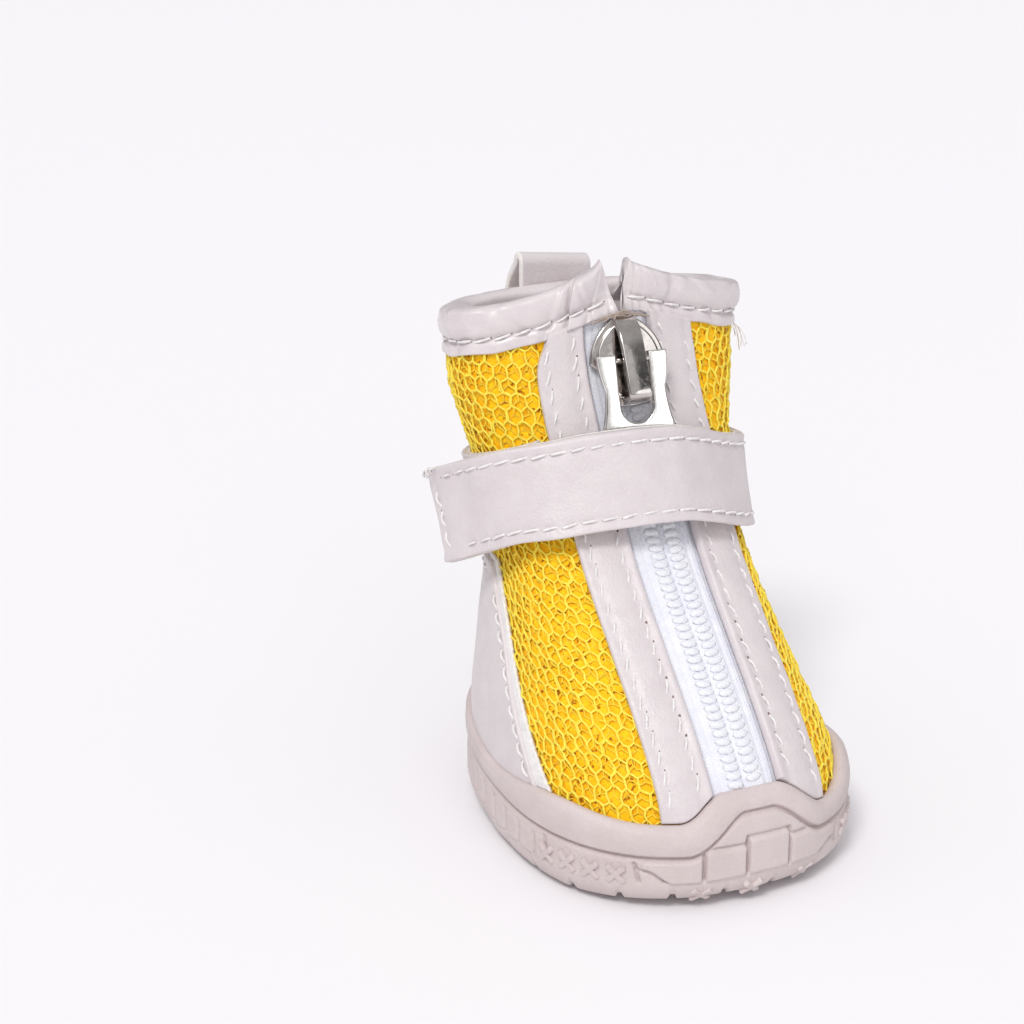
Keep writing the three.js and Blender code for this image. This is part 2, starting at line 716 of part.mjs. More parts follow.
const slope = new THREE.Group();
{
  const reach = 6;
  const rise = section(SLIDER_Z + reach).front - section(SLIDER_Z - reach).front;
  slope.position.set(zipLine(SLIDER_Z) + SLIDER_ASIDE, section(SLIDER_Z).front, SLIDER_Z);
  slope.rotation.x = Math.PI / 2 - Math.atan2(rise, 2 * reach);
}
boot.add(slope);

function plate(outline, thickness, holes = []) {
  const shape = outline;
  shape.holes.push(...holes);
  return new THREE.ExtrudeGeometry(shape, {
    depth: thickness, bevelEnabled: true, bevelThickness: 0.15, bevelSize: 0.15,
    bevelOffset: -0.15, bevelSegments: 1, curveSegments: 6,
  });
}

// Shield with a rounded top and a tail that narrows to the chain.
function sliderOutline() {
  const shape = new THREE.Shape();
  shape.moveTo(-2.6, -6.4);
  shape.lineTo(2.6, -6.4);
  shape.lineTo(3.2, -2.4);
  shape.quadraticCurveTo(4.0, -1.2, SLIDER_HALF, -0.2);
  shape.quadraticCurveTo(4.9, 4.6, 0, 6.6);
  shape.quadraticCurveTo(-4.9, 4.6, -SLIDER_HALF, -0.2);
  shape.quadraticCurveTo(-4.0, -1.2, -3.2, -2.4);
  return shape;
}

// The bridge is an arch over the plate; the pull's bar lies under it.
const BRIDGE_HALF = 1.55;
const BRIDGE_TOP = 5.6;
const BRIDGE_FOOT = -6.0;
const BRIDGE_STRIP = 0.9;
const BAR_Y = 0.0;               // the pull's bar, up the slope from the widest place
const BAR_OUT = SLIDER_OUT + SLIDER_PLATE + 1.3;

function bridge() {
  const low = SLIDER_OUT + SLIDER_PLATE - 0.3;
  const crown = BAR_OUT + 1.5 + BRIDGE_STRIP;
  const arch = (inset) => {
    const shape = new THREE.Shape();
    shape.moveTo(BRIDGE_FOOT + inset, low);
    shape.bezierCurveTo(BRIDGE_FOOT + inset, crown - inset, -4, crown - inset, -1, crown - inset);
    shape.bezierCurveTo(3, crown - inset, BRIDGE_TOP - inset, crown - 1 - inset,
      BRIDGE_TOP - inset, low);
    return shape;
  };
  const outer = arch(0);
  outer.closePath();
  const block = new THREE.ExtrudeGeometry(outer, {
    depth: 2 * BRIDGE_HALF, bevelEnabled: false, curveSegments: 8,
  });
  const core = new THREE.ExtrudeGeometry(arch(BRIDGE_STRIP), {
    depth: 2 * BRIDGE_HALF + 2, bevelEnabled: false, curveSegments: 8,
  });
  core.translate(0, -0.5, -1);
  block.applyMatrix4(ACROSS);
  core.applyMatrix4(ACROSS);
  block.translate(-BRIDGE_HALF, 0, 0);
  core.translate(-BRIDGE_HALF, 0, 0);
  return solid(block).subtract(solid(core));
}

function zipSlider() {
  const base = plate(sliderOutline(), SLIDER_PLATE);
  base.translate(0, 0, SLIDER_OUT);
  return geometryOf(solid(base).add(bridge()));
}

addPiece('zip_slider', zipSlider(), NICKEL, 0.25, 1, slope);

// The pull: two legs from a round bar, a waist, and a broad lower end with a slot.
function zipPull() {
  const shape = new THREE.Shape();
  shape.moveTo(-PULL_HALF, 0.9);
  shape.quadraticCurveTo(-PULL_HALF, -2, -4.3, -4);
  shape.quadraticCurveTo(-4.4, -7, -PULL_HALF, -9);
  shape.lineTo(-PULL_HALF, -PULL_LENGTH + 2.5);
  shape.quadraticCurveTo(-PULL_HALF, -PULL_LENGTH, -2.5, -PULL_LENGTH);
  shape.lineTo(2.5, -PULL_LENGTH);
  shape.quadraticCurveTo(PULL_HALF, -PULL_LENGTH, PULL_HALF, -PULL_LENGTH + 2.5);
  shape.lineTo(PULL_HALF, -9);
  shape.quadraticCurveTo(4.4, -7, 4.3, -4);
  shape.quadraticCurveTo(PULL_HALF, -2, PULL_HALF, 0.9);
  shape.lineTo(2.2, 0.9);
  shape.lineTo(2.2, -6.2);
  shape.absarc(0, -6.2, 2.2, 0, Math.PI, true);
  shape.lineTo(-2.2, 0.9);
  const legs = plate(shape, PULL_THICK);
  legs.translate(0, 0, -PULL_THICK / 2);
  const bar = new THREE.CylinderGeometry(0.5, 0.5, 2 * 3.2, 10);
  bar.rotateZ(Math.PI / 2);
  return geometryOf(solid(legs).add(solid(bar)));
}

const hang = new THREE.Group();
hang.position.set(0, BAR_Y, BAR_OUT);
hang.rotation.x = PULL_DROOP;
slope.add(hang);
addPiece('zip_pull', zipPull(), NICKEL, 0.22, 1, hang);

export default boot;
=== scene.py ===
import math

import bmesh
import bpy
import numpy as np
from mathutils import Matrix, Vector


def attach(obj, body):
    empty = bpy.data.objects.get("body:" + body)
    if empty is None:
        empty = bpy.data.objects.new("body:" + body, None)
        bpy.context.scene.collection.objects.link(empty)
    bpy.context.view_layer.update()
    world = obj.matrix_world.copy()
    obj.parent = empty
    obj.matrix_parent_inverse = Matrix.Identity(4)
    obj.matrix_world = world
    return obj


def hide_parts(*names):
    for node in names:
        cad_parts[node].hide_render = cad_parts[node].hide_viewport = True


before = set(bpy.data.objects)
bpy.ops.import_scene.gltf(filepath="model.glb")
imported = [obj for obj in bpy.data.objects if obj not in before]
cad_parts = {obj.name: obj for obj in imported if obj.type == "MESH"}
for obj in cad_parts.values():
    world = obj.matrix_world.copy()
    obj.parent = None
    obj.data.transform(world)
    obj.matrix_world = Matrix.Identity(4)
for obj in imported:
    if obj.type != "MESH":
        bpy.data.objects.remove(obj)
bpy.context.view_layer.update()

# Dog boot, made round its CAD frame. Shapes are worked out in millimetres in the boot's own
# frame (toe towards -Y) and are set down in metres, shifted as the CAD is.
MM = 0.001
SHIFT = np.array([1.1, -3.6, 0.0])
TURN = 2 * math.pi

GAP = 0.3
WALL = 2.0
SOLE = dict(front=-31.5, back=31.0, half=24.2, mid=-4.0, lean=-0.6, nose=2.4, seat=2.2)
LUG = 1.2
FLOOR = 3.4
RAND = 1.6
EDGE_TUCK = 2.0
BUMPER_TOP = 15.6
BUMPER_AT = 3.0
RAND_TOP = 12.4
COLLAR_BACK = 71.0
COLLAR_RISE = 6.6
BINDING_HEIGHT = 6.5
BINDING = 0.9
BINDING_EASE = 0.6
ZIP_HALF = 4.4
CHAIN_HALF = 2.8
ZIP_BOTTOM = 16.6
ZIP_DRIFT = 1.3
ZIP_TOP = 69.6
FACING_OUT = 12.0
FACING_IN = 4.9
QUARTER_TOP = 36.5
STRAP_WIDTH = 11.6
STRAP = 1.5
STRAP_Z = 52.3
STRAP_LEAN = 1.03

# Level sections of the last: z, front, back, half, mid, lean, nose, seat.
LAST = np.array([
    (3, -28.6, 28.6, 22.0, -4.0, -0.6, 2.5, 2.3),
    (10, -29.2, 29.0, 22.4, -4.0, -0.6, 2.5, 2.3),
    (15, -27.4, 28.8, 22.0, -3.0, -0.8, 2.5, 2.3),
    (22, -21.6, 28.0, 20.5, 0.0, -1.2, 2.5, 2.3),
    (30, -13.4, 27.0, 18.7, 4.0, -1.2, 2.5, 2.3),
    (38, -5.2, 26.4, 17.4, 9.0, -1.0, 2.6, 2.3),
    (46, 1.0, 26.6, 17.8, 14.0, -0.7, 2.6, 2.3),
    (54, 5.4, 28.0, 19.4, 17.5, -0.6, 2.6, 2.4),
    (61, 8.4, 29.2, 20.8, 19.5, -0.7, 2.7, 2.5),
    (67, 10.4, 29.2, 20.9, 20.3, -0.5, 2.8, 2.5),
    (79, 12.4, 28.2, 20.8, 20.5, -0.2, 2.8, 2.5),
])
LAST_COLUMNS = ("front", "back", "half", "mid", "lean", "nose", "seat")


# ---- the last ---------------------------------------------------------------------------------
def mix(a, b, t):
    return a + (b - a) * t


def ease(t):
    t = np.clip(t, 0.0, 1.0)
    return t * t * (3 - 2 * t)


def bump(value, centre, width):
    return np.exp(-(((value - centre) / width) ** 2))


def from_toe(phi):
    return np.arctan2(np.sin(phi), np.cos(phi))


def section(z):
    """The last's section at height z, by a smooth curve through the table's rows."""
    heights = LAST[:, 0]
    z = np.clip(np.asarray(z, float), heights[0], heights[-1])
    i = np.clip(np.searchsorted(heights, z, side="right") - 1, 0, len(heights) - 2)
    before = np.maximum(np.arange(len(heights)) - 1, 0)
    after = np.minimum(np.arange(len(heights)) + 1, len(heights) - 1)
    slopes = (LAST[after] - LAST[before]) / (heights[after] - heights[before])[:, None]
    step = (heights[i + 1] - heights[i])[..., None]
    t = (z - heights[i])[..., None] / step
    start, finish = slopes[i] * step, slopes[i + 1] * step
    rise = LAST[i + 1] - LAST[i]
    curve = (start + finish - 2 * rise) * t + 3 * rise - 2 * start - finish
    row = LAST[i] + t * (start + t * curve)
    return {name: row[..., k + 1] for k, name in enumerate(LAST_COLUMNS)}


def around(s, phi, grow):
    """Point on a section at angle phi from the toe, grown outwards; + is towards +X."""
    c, q = np.cos(phi), np.sin(phi)
    reach = np.where(c > 0, s["mid"] - s["front"], s["back"] - s["mid"])
    power = np.where(c > 0, s["nose"], s["seat"])
    r = (np.abs(c / reach) ** power + np.abs(q / s["half"]) ** power) ** (-1 / power) + grow
    return s["lean"] + r * q, s["mid"] - r * c


def on_last(phi, z, grow=0.0):
    phi, z, grow = np.broadcast_arrays(*(np.asarray(v, float) for v in (phi, z, grow)))
    x, y = around(section(z), phi, grow)
    return np.stack([x, y, z], -1)


def unit(v):
    return v / np.maximum(np.linalg.norm(v, axis=-1, keepdims=True), 1e-9)


def outward(phi, z):
    across = on_last(phi + 0.02, z) - on_last(phi - 0.02, z)
    upward = on_last(phi, z + 0.2) - on_last(phi, z - 0.2)
    return unit(np.cross(across, upward))


def zip_line(z):
    return -ZIP_DRIFT * ease((z - 44) / 20)


def front_phi(x, z):
    """Angle at which the last lies x to the side of the zip's line."""
    s = section(z)
    aim = x + zip_line(z)
    phi = np.arctan2(aim - s["lean"], s["mid"] - s["front"])
    for _ in range(12):
        phi = phi + (aim - around(s, phi, 0)[0]) / (s["mid"] - s["front"])
    return phi


def on_front(x, z, grow=0.0):
    x, z, grow = np.broadcast_arrays(*(np.asarray(v, float) for v in (x, z, grow)))
    phi = front_phi(x, z)
    return on_last(phi, z) + outward(phi, z) * grow[..., None]


def lift(y):
    toe = 1.0 * ease((-y - 17) / 14)
    heel = 0.5 * ease((y - 21) / 11)
    return toe + heel + 0.5 * ease((y + 2) / 6) * ease((14 - y) / 6)


def rand_top(phi):
    turn = np.degrees(from_toe(phi))
    a = np.abs(turn)
    bumper = (BUMPER_TOP - RAND_TOP) * (1 - ease((np.abs(turn - BUMPER_AT) - 9) / 15))
    ball = 1.2 * bump(a, 58, 18) - 1.2 * bump(turn, 31, 12)
    return RAND_TOP + bumper + ball - 0.5 * bump(a, 98, 16) + 1.6 * bump(a, 180, 45)


def groove_at(phi):
    turn = np.degrees(from_toe(phi))
    a = np.abs(turn)
    bumper = 5.0 * (1 - ease((np.abs(turn - BUMPER_AT) - 4) / 18))
    return 8.0 + bumper + 0.8 * bump(a, 120, 30) + 1.2 * bump(a, 180, 30)


def collar_top(phi):
    a = np.minimum(np.abs(from_toe(phi)), math.radians(110))
    return COLLAR_BACK + COLLAR_RISE * (0.5 + 0.5 * np.cos(a * 180 / 110))


def quarter_phi(z, forward=0.0):
    y = mix(-12.5, 11.5, (z - 12) / (QUARTER_TOP - 12)) - forward
    s = section(z)
    return np.arctan2(s["half"], s["mid"] - y)


def sway(*waves):
    """A slow, uneven value from a few sine waves: each is (position, wavelength, phase)."""
    total = 0.0
    for position, wavelength, phase in waves:
        total = total + np.sin(position * TURN / wavelength + phase)
    return total / len(waves)


# ---- meshes from grids ------------------------------------------------------------------------
def grid_faces(rows, columns, close=False, first=0):
    """Quads over a grid of rows x columns points; close joins the last column to the first."""
    i, j = np.meshgrid(np.arange(rows - 1), np.arange(columns if close else columns - 1),
                       indexing="ij")
    a = first + i * columns + j
    b = first + i * columns + (j + 1) % columns
    return np.stack([a, b, b + columns, a + columns], -1).reshape(-1, 4)


def facing_out(points, faces):
    """The faces, turned round if together they enclose a negative volume."""
    total = 0.0
    for quad in faces:
        p = points[quad]
        total += np.einsum("ij,ij->i", p[:, 0], np.cross(p[:, 1], p[:, 2])).sum()
        if quad.shape[1] == 4:
            total += np.einsum("ij,ij->i", p[:, 0], np.cross(p[:, 2], p[:, 3])).sum()
    return [quad[:, ::-1] for quad in faces] if total < 0 else faces


def make_piece(name, points, faces, materials, uv=None, picks=None, sharp=None):
    """A smooth mesh piece. faces is a list of face arrays, picks the material of each face,
    uv one pair for each point."""
    points = np.asarray(points, float).reshape(-1, 3)
    faces = [np.asarray(f) for f in faces if len(f)]
    faces = facing_out(points, faces)
    mesh = bpy.data.meshes.new(name)
    mesh.from_pydata(((points + SHIFT) * MM).tolist(), [],
                     [row for f in faces for row in f.tolist()])
    for material in materials if isinstance(materials, (list, tuple)) else [materials]:
        mesh.materials.append(material)
    smoothed(mesh)
    if picks is not None:
        mesh.polygons.foreach_set("material_index", np.asarray(picks, np.int32))
    if uv is not None:
        layer = mesh.uv_layers.new(name="lay")
        corner = np.empty(len(mesh.loops), np.int32)
        mesh.loops.foreach_get("vertex_index", corner)
        layer.data.foreach_set("uv", np.asarray(uv, float).reshape(-1, 2)[corner].ravel())
    if sharp is not None:
        smoothed(mesh, sharp)
    mesh.update()
    return linked(name, mesh)


def cut_sheet(name, place, us, vs, materials, uv=None, lined=False):
    """A sheet with thickness: place(u, v) gives its outer points and its inner points, and the
    rim joins the two. A lined sheet takes its second material on the inside."""
    u, v = np.meshgrid(us, vs)
    outer, inner = place(u, v)
    rows, columns = u.shape
    count = rows * columns
    top = grid_faces(rows, columns)
    low = grid_faces(rows, columns, first=count)[:, ::-1]
    rim = np.concatenate([
        np.arange(columns), np.arange(1, rows) * columns + columns - 1,
        (rows - 1) * columns + np.arange(columns - 2, -1, -1),
        np.arange(rows - 2, 0, -1) * columns])
    after = np.roll(rim, -1)
    side = np.stack([after, rim, rim + count, after + count], -1)
    picks = np.repeat((0, 1 if lined else 0, 0), (len(top), len(low), len(side)))
    both = None if uv is None else np.concatenate([uv(u, v).reshape(-1, 2)] * 2)
    points = np.concatenate([outer.reshape(-1, 3), inner.reshape(-1, 3)])
    return make_piece(name, points, [np.concatenate([top, low, side])], materials,
                      uv=both, picks=picks)


def rounded_steps(count, edge, span):
    """Steps from 0 to 1 that crowd within edge (mm) of both ends of a span (mm)."""
    near = min(0.3, edge / span)
    lip = near * (1 - np.cos(np.linspace(0, math.pi / 2, 6)))
    middle = np.linspace(near, 1 - near, count)
    return np.concatenate([lip[:-1], middle, (1 - lip[:-1])[::-1]])


def rim_drop(u, v, wide, long, edge):
    """0 inside the sheet, falling in a quarter round to 1 at its rim."""
    reach = np.minimum(np.minimum(u, 1 - u) * wide, np.minimum(v, 1 - v) * long)
    t = np.clip(1 - reach / edge, 0, 1)
    return 1 - np.sqrt(np.maximum(0.0, 1 - t * t))


def swept(name, rings, materials, sharp=None, ends=None):
    """Closed rings of points swept along a course and closed at both ends, to each end ring's
    middle unless other end points are given."""
    rings = np.asarray(rings)
    rows, columns = rings.shape[:2]
    body = grid_faces(rows, columns, close=True)
    if ends is None:
        ends = rings[[0, -1]].mean(axis=1)
    points = np.concatenate([rings.reshape(-1, 3), ends])
    start, finish = rows * columns, rows * columns + 1
    k = np.arange(columns)
    after = (k + 1) % columns
    last = (rows - 1) * columns
    caps = np.concatenate([
        np.stack([after, k, np.full(columns, start)], -1),
        np.stack([last + k, last + after, np.full(columns, finish)], -1)])
    return make_piece(name, points, [body, caps], materials, sharp=sharp)


def measured(points):
    """Running length along a line of points."""
    steps = np.linalg.norm(np.diff(points, axis=0), axis=1)
    return np.concatenate([[0.0], np.cumsum(steps)])


def read_at(where, run, rows):
    """Values that belong to running lengths, read at other lengths along the same line."""
    rows = np.asarray(rows)
    return np.stack([np.interp(where, run, rows[:, k]) for k in range(rows.shape[1])], -1)


def linked(name, data):
    """A new object for some data, put in the scene."""
    made = bpy.data.objects.new(name, data)
    bpy.context.scene.collection.objects.link(made)
    return made


def smoothed(mesh, sharp=None):
    """Shades a mesh smooth, up to an angle if one is given."""
    mesh.polygons.foreach_set("use_smooth", np.ones(len(mesh.polygons), bool))
    if sharp is not None:
        mesh.set_sharp_from_angle(angle=math.radians(sharp))


def face_out(mesh, merge=0.0):
    """Turns a mesh's faces outwards, after merging points that lie within merge metres."""
    shape = bmesh.new()
    shape.from_mesh(mesh)
    if merge:
        bmesh.ops.remove_doubles(shape, verts=shape.verts, dist=merge)
    bmesh.ops.recalc_face_normals(shape, faces=shape.faces)
    shape.to_mesh(mesh)
    shape.free()


def plain_mesh(name, points, faces, material):
    """A smooth piece from points in mm and faces of any number of sides."""
    mesh = bpy.data.meshes.new(name)
    mesh.from_pydata(((np.asarray(points) + SHIFT) * MM).tolist(), [], faces)
    mesh.materials.append(material)
    smoothed(mesh)
    face_out(mesh)
    return linked(name, mesh)


# ---- node benches -----------------------------------------------------------------------------
def feed_sockets(tree, sockets, values):
    """Joins or sets sockets: each value is a plain one or another node's socket."""
    for key, value in values.items():
        if isinstance(value, bpy.types.NodeSocket):
            tree.links.new(value, sockets[key])
        else:
            sockets[key].default_value = value


class Bench:
    """Lays nodes in a tree and joins them; an input may be a value or another node's socket."""

    def __init__(self, tree):
        self.tree = tree

    def add(self, kind, inputs=None, **settings):
        made = self.tree.nodes.new(kind)
        for key, value in settings.items():
            setattr(made, key, value)
        feed_sockets(self.tree, made.inputs, inputs or {})
        return made

    def math(self, operation, *values):
        made = self.add("ShaderNodeMath", dict(enumerate(values)), operation=operation)
        return made.outputs[0]

    def vector(self, operation, *values):
        made = self.add("ShaderNodeVectorMath", dict(enumerate(values)), operation=operation)
        return made.outputs[0]

    def span(self, value, low, high, to_low=0.0, to_high=1.0):
        made = self.add("ShaderNodeMapRange", {
            "Value": value, "From Min": low, "From Max": high, "To Min": to_low,
            "To Max": to_high}, interpolation_type="SMOOTHSTEP")
        return made.outputs["Result"]

    def noise(self, vector, scale, detail=2.0, rough=0.5):
        made = self.add("ShaderNodeTexNoise", {
            "Vector": vector, "Scale": scale, "Detail": detail, "Roughness": rough})
        return made.outputs["Fac"]

    def named(self, label):
        made = self.add("GeometryNodeInputNamedAttribute", {"Name": label},
                        data_type="FLOAT_VECTOR")
        return made.outputs[0]

    def blend(self, share, a, b):
        made = self.add("ShaderNodeMix", {0: share, 6: a, 7: b}, data_type="RGBA")
        return made.outputs[2]


def shader_group(name, inputs, outputs):
    """An empty shader node group with its sockets, its bench, and its two ends."""
    group = bpy.data.node_groups.new(name, "ShaderNodeTree")
    for label, kind, value in inputs:
        socket = group.interface.new_socket(label, in_out="INPUT", socket_type=kind)
        if value is not None:
            socket.default_value = value
    for label, kind in outputs:
        group.interface.new_socket(label, in_out="OUTPUT", socket_type=kind)
    bench = Bench(group)
    return group, bench, bench.add("NodeGroupInput").outputs, bench.add("NodeGroupOutput").inputs


def make_grain():
    """Fine pebbled grain of a coated fabric or of moulded rubber, and a slow unevenness."""
    group, b, given, out = shader_group(
        "grain",
        [("Vector", "NodeSocketVector", None), ("Pebble", "NodeSocketFloat", 2200.0),
         ("Slow", "NodeSocketFloat", 260.0)],
        [("Height", "NodeSocketFloat"), ("Patch", "NodeSocketFloat")])
    cells = b.add("ShaderNodeTexVoronoi", {
        "Vector": given["Vector"], "Scale": given["Pebble"]}, feature="SMOOTH_F1").outputs[0]
    fine = b.noise(given["Vector"], given["Pebble"], 3.0, 0.6)
    patch = b.noise(given["Vector"], given["Slow"], 3.0, 0.55)
    height = b.math("ADD", b.math("MULTIPLY", cells, 0.55), b.math("MULTIPLY", fine, 0.45))
    b.tree.links.new(b.math("ADD", height, b.math("MULTIPLY", patch, 0.6)), out["Height"])
    b.tree.links.new(patch, out["Patch"])
    return group


def make_weave():
    """Threads crossing over and under, counted along both directions of the cloth."""
    group, b, given, out = shader_group(
        "weave",
        [("Vector", "NodeSocketVector", None), ("Across", "NodeSocketFloat", 2.0),
         ("Along", "NodeSocketFloat", 2.0)],
        [("Height", "NodeSocketFloat")])
    parts = b.add("ShaderNodeSeparateXYZ", {0: given["Vector"]}).outputs
    across = b.math("SINE", b.math("MULTIPLY", parts[0], b.math("MULTIPLY", given["Across"], TURN)))
    along = b.math("SINE", b.math("MULTIPLY", parts[1], b.math("MULTIPLY", given["Along"], TURN)))
    height = b.math("MULTIPLY_ADD", b.math("MULTIPLY", across, along), 0.5, 0.5)
    b.tree.links.new(height, out["Height"])
    return group


def make_mottle():
    """A colour that drifts a little lighter and darker over the surface."""
    group, b, given, out = shader_group(
        "mottle",
        [("Vector", "NodeSocketVector", None), ("Scale", "NodeSocketFloat", 120.0),
         ("Light", "NodeSocketColor", (0.7, 0.7, 0.7, 1)),
         ("Dark", "NodeSocketColor", (0.6, 0.6, 0.6, 1))],
        [("Color", "NodeSocketColor"), ("Share", "NodeSocketFloat")])
    share = b.span(b.noise(given["Vector"], given["Scale"], 4.0, 0.6), 0.3, 0.7)
    b.tree.links.new(b.blend(share, given["Dark"], given["Light"]), out["Color"])
    b.tree.links.new(share, out["Share"])
    return group


GRAIN, WEAVE, MOTTLE = make_grain(), make_weave(), make_mottle()


class Finish(Bench):
    """A material being mixed: a Principled shader, its place coordinates and its groups."""

    def __init__(self, name, roughness, **values):
        self.material = bpy.data.materials.new(name)
        self.material.use_nodes = True
        super().__init__(self.material.node_tree)
        self.tree.nodes.clear()
        self.surface = self.add("ShaderNodeBsdfPrincipled", {"Roughness": roughness, **values})
        out = self.add("ShaderNodeOutputMaterial")
        self.tree.links.new(self.surface.outputs[0], out.inputs[0])
        place = self.add("ShaderNodeTexCoord")
        self.place, self.lay = place.outputs["Object"], place.outputs["UV"]

    def group(self, group, **inputs):
        made = self.add("ShaderNodeGroup", node_tree=group)
        feed_sockets(self.tree, made.inputs, inputs)
        return made.outputs

    def feed(self, socket, value):
        self.tree.links.new(value, self.surface.inputs[socket])

    def raise_by(self, height, distance, strength=1.0):
        """Bumps the surface by height; distance is in metres."""
        made = self.add("ShaderNodeBump", {
            "Height": height, "Distance": distance, "Strength": strength})
        self.feed("Normal", made.outputs[0])


def coated_finish(name, light, dark, pebble=2600.0, depth=0.00010, roughness=0.42, coat=0.0):
    f = Finish(name, roughness, **{
        "Specular IOR Level": 0.45, "Sheen Weight": 0.05, "Coat Weight": coat,
        "Coat Roughness": 0.22})
    mottle = f.group(MOTTLE, Vector=f.place, Scale=260.0, Light=light, Dark=dark)
    grain = f.group(GRAIN, Vector=f.place, Pebble=pebble, Slow=210.0)
    f.feed("Base Color", mottle["Color"])
    f.feed("Roughness", f.span(grain["Patch"], 0.25, 0.75, roughness - 0.08, roughness + 0.1))
    f.raise_by(grain["Height"], depth)
    return f.material


def rubber_finish():
    f = Finish("moulded_rubber", 0.55, **{"Specular IOR Level": 0.4})
    mottle = f.group(MOTTLE, Vector=f.place, Scale=90.0, Light=(0.655, 0.570, 0.562, 1),
                     Dark=(0.600, 0.512, 0.505, 1))
    grain = f.group(GRAIN, Vector=f.place, Pebble=2900.0, Slow=420.0)
    f.feed("Base Color", mottle["Color"])
    f.feed("Roughness", f.span(grain["Patch"], 0.3, 0.7, 0.46, 0.62))
    f.raise_by(grain["Height"], 0.00012)
    return f.material


def yarn_finish(name, light, dark):
    """Bright knitted yarn: many filaments side by side, catching the light unevenly."""
    f = Finish(name, 0.5, **{"Specular IOR Level": 0.45, "Sheen Weight": 0.15})
    mottle = f.group(MOTTLE, Vector=f.place, Scale=900.0, Light=light, Dark=dark)
    f.feed("Base Color", mottle["Color"])
    f.raise_by(f.noise(f.place, 9000.0, 2.0), 0.00004)
    return f.material


def ground_finish():
    """The knit behind the net: deeper in colour, soft, with a few gaps painted dark as shade seen
    through them.
    """
    f = Finish("mesh_ground", 0.7, **{"Specular IOR Level": 0.2, "Sheen Weight": 0.1})
    mottle = f.group(MOTTLE, Vector=f.place, Scale=1100.0, Light=(1.0, 0.66, 0.010, 1),
                     Dark=(1.0, 0.50, 0.003, 1))
    # Painted shade: dark brown patches where shade falls into gaps of the knit.
    shade_gap = f.span(f.noise(f.place, 1250.0, 1.0, 0.4), 0.62, 0.72)
    f.feed("Base Color", f.blend(shade_gap, mottle["Color"], (0.42, 0.15, 0.004, 1)))
    f.raise_by(f.noise(f.place, 2600.0, 2.0), 0.00010)
    return f.material


def thread_finish(name, light, dark):
    f = Finish(name, 0.55, **{"Sheen Weight": 0.15})
    mottle = f.group(MOTTLE, Vector=f.place, Scale=1500.0, Light=light, Dark=dark)
    f.feed("Base Color", mottle["Color"])
    twist = f.add("ShaderNodeTexWave", {
        "Vector": f.place, "Scale": 900.0, "Distortion": 1.0}, bands_direction="DIAGONAL")
    f.raise_by(twist.outputs["Fac"], 0.00004)
    return f.material


def cloth_finish(name, light, dark, across, along, depth, roughness=0.7):
    """Woven cloth that follows the piece's own lay, measured in millimetres."""
    f = Finish(name, roughness, **{"Sheen Weight": 0.2})
    mottle = f.group(MOTTLE, Vector=f.place, Scale=500.0, Light=light, Dark=dark)
    weave = f.group(WEAVE, Vector=f.lay, Across=across, Along=along)
    f.feed("Base Color", mottle["Color"])
    f.raise_by(weave["Height"], depth)
    return f.material


def nickel_finish(name, light, dark, smooth, rough):
    f = Finish(name, 0.16, Metallic=1.0)
    mottle = f.group(MOTTLE, Vector=f.place, Scale=600.0, Light=light, Dark=dark)
    f.feed("Base Color", mottle["Color"])
    scuff = f.noise(f.place, 1400.0, 4.0, 0.65)
    f.feed("Roughness", f.span(scuff, 0.35, 0.75, smooth, rough))
    f.raise_by(f.noise(f.place, 700.0, 3.0, 0.6), 0.00002)
    return f.material


def dull_finish(name, light, dark, roughness, pebble, depth):
    f = Finish(name, roughness, **{"Specular IOR Level": 0.3})
    mottle = f.group(MOTTLE, Vector=f.place, Scale=700.0, Light=light, Dark=dark)
    f.feed("Base Color", mottle["Color"])
    f.raise_by(f.noise(f.place, pebble, 3.0, 0.6), depth)
    return f.material


COATED = coated_finish("coated_fabric", (0.695, 0.636, 0.645, 1), (0.655, 0.595, 0.605, 1))
GLOSSED = coated_finish("coated_binding", (0.715, 0.655, 0.662, 1), (0.670, 0.606, 0.616, 1),
                        pebble=1900.0, depth=0.00007, roughness=0.34, coat=0.35)
CUT_EDGE = dull_finish("cut_edge", (0.86, 0.83, 0.80, 1), (0.76, 0.72, 0.70, 1),
                       0.75, 5000.0, 0.00008)
BACKING = dull_finish("white_backing", (0.90, 0.88, 0.87, 1), (0.80, 0.78, 0.77, 1),
                      0.8, 6000.0, 0.00010)
RUBBER = rubber_finish()
YARN = yarn_finish("mesh_yarn", (1.0, 0.85, 0.09, 1), (1.0, 0.72, 0.03, 1))
INNER_YARN = yarn_finish("mesh_inner_yarn", (1.0, 0.74, 0.03, 1), (1.0, 0.60, 0.01, 1))
GROUND = ground_finish()
THREAD = thread_finish("sewing_thread", (0.90, 0.88, 0.87, 1), (0.76, 0.72, 0.72, 1))
ZIP_YARN = thread_finish("zip_yarn", (0.86, 0.865, 0.89, 1), (0.80, 0.805, 0.87, 1))
ZIP_CLOTH = cloth_finish("zip_cloth", (0.84, 0.845, 0.885, 1), (0.76, 0.77, 0.86, 1),
                         1.6, 2.4, 0.00005)
LINING = cloth_finish("lining_knit", (0.80, 0.76, 0.74, 1), (0.70, 0.66, 0.64, 1),
                      1.2, 1.2, 0.00015, 0.85)
FELT = dull_finish("insole_felt", (0.80, 0.77, 0.70, 1), (0.66, 0.62, 0.56, 1),
                   0.9, 4000.0, 0.00020)
# The slider and the pull are one nickel-plated metal: the slider's darker, brownish base colour is
# painted dark reflection, and the pull's bar takes it too.
NICKEL_PAINTED_DARK_REFLECTION = nickel_finish("nickel_slider", (0.66, 0.62, 0.595, 1), (0.54, 0.50, 0.48, 1), 0.08, 0.2)
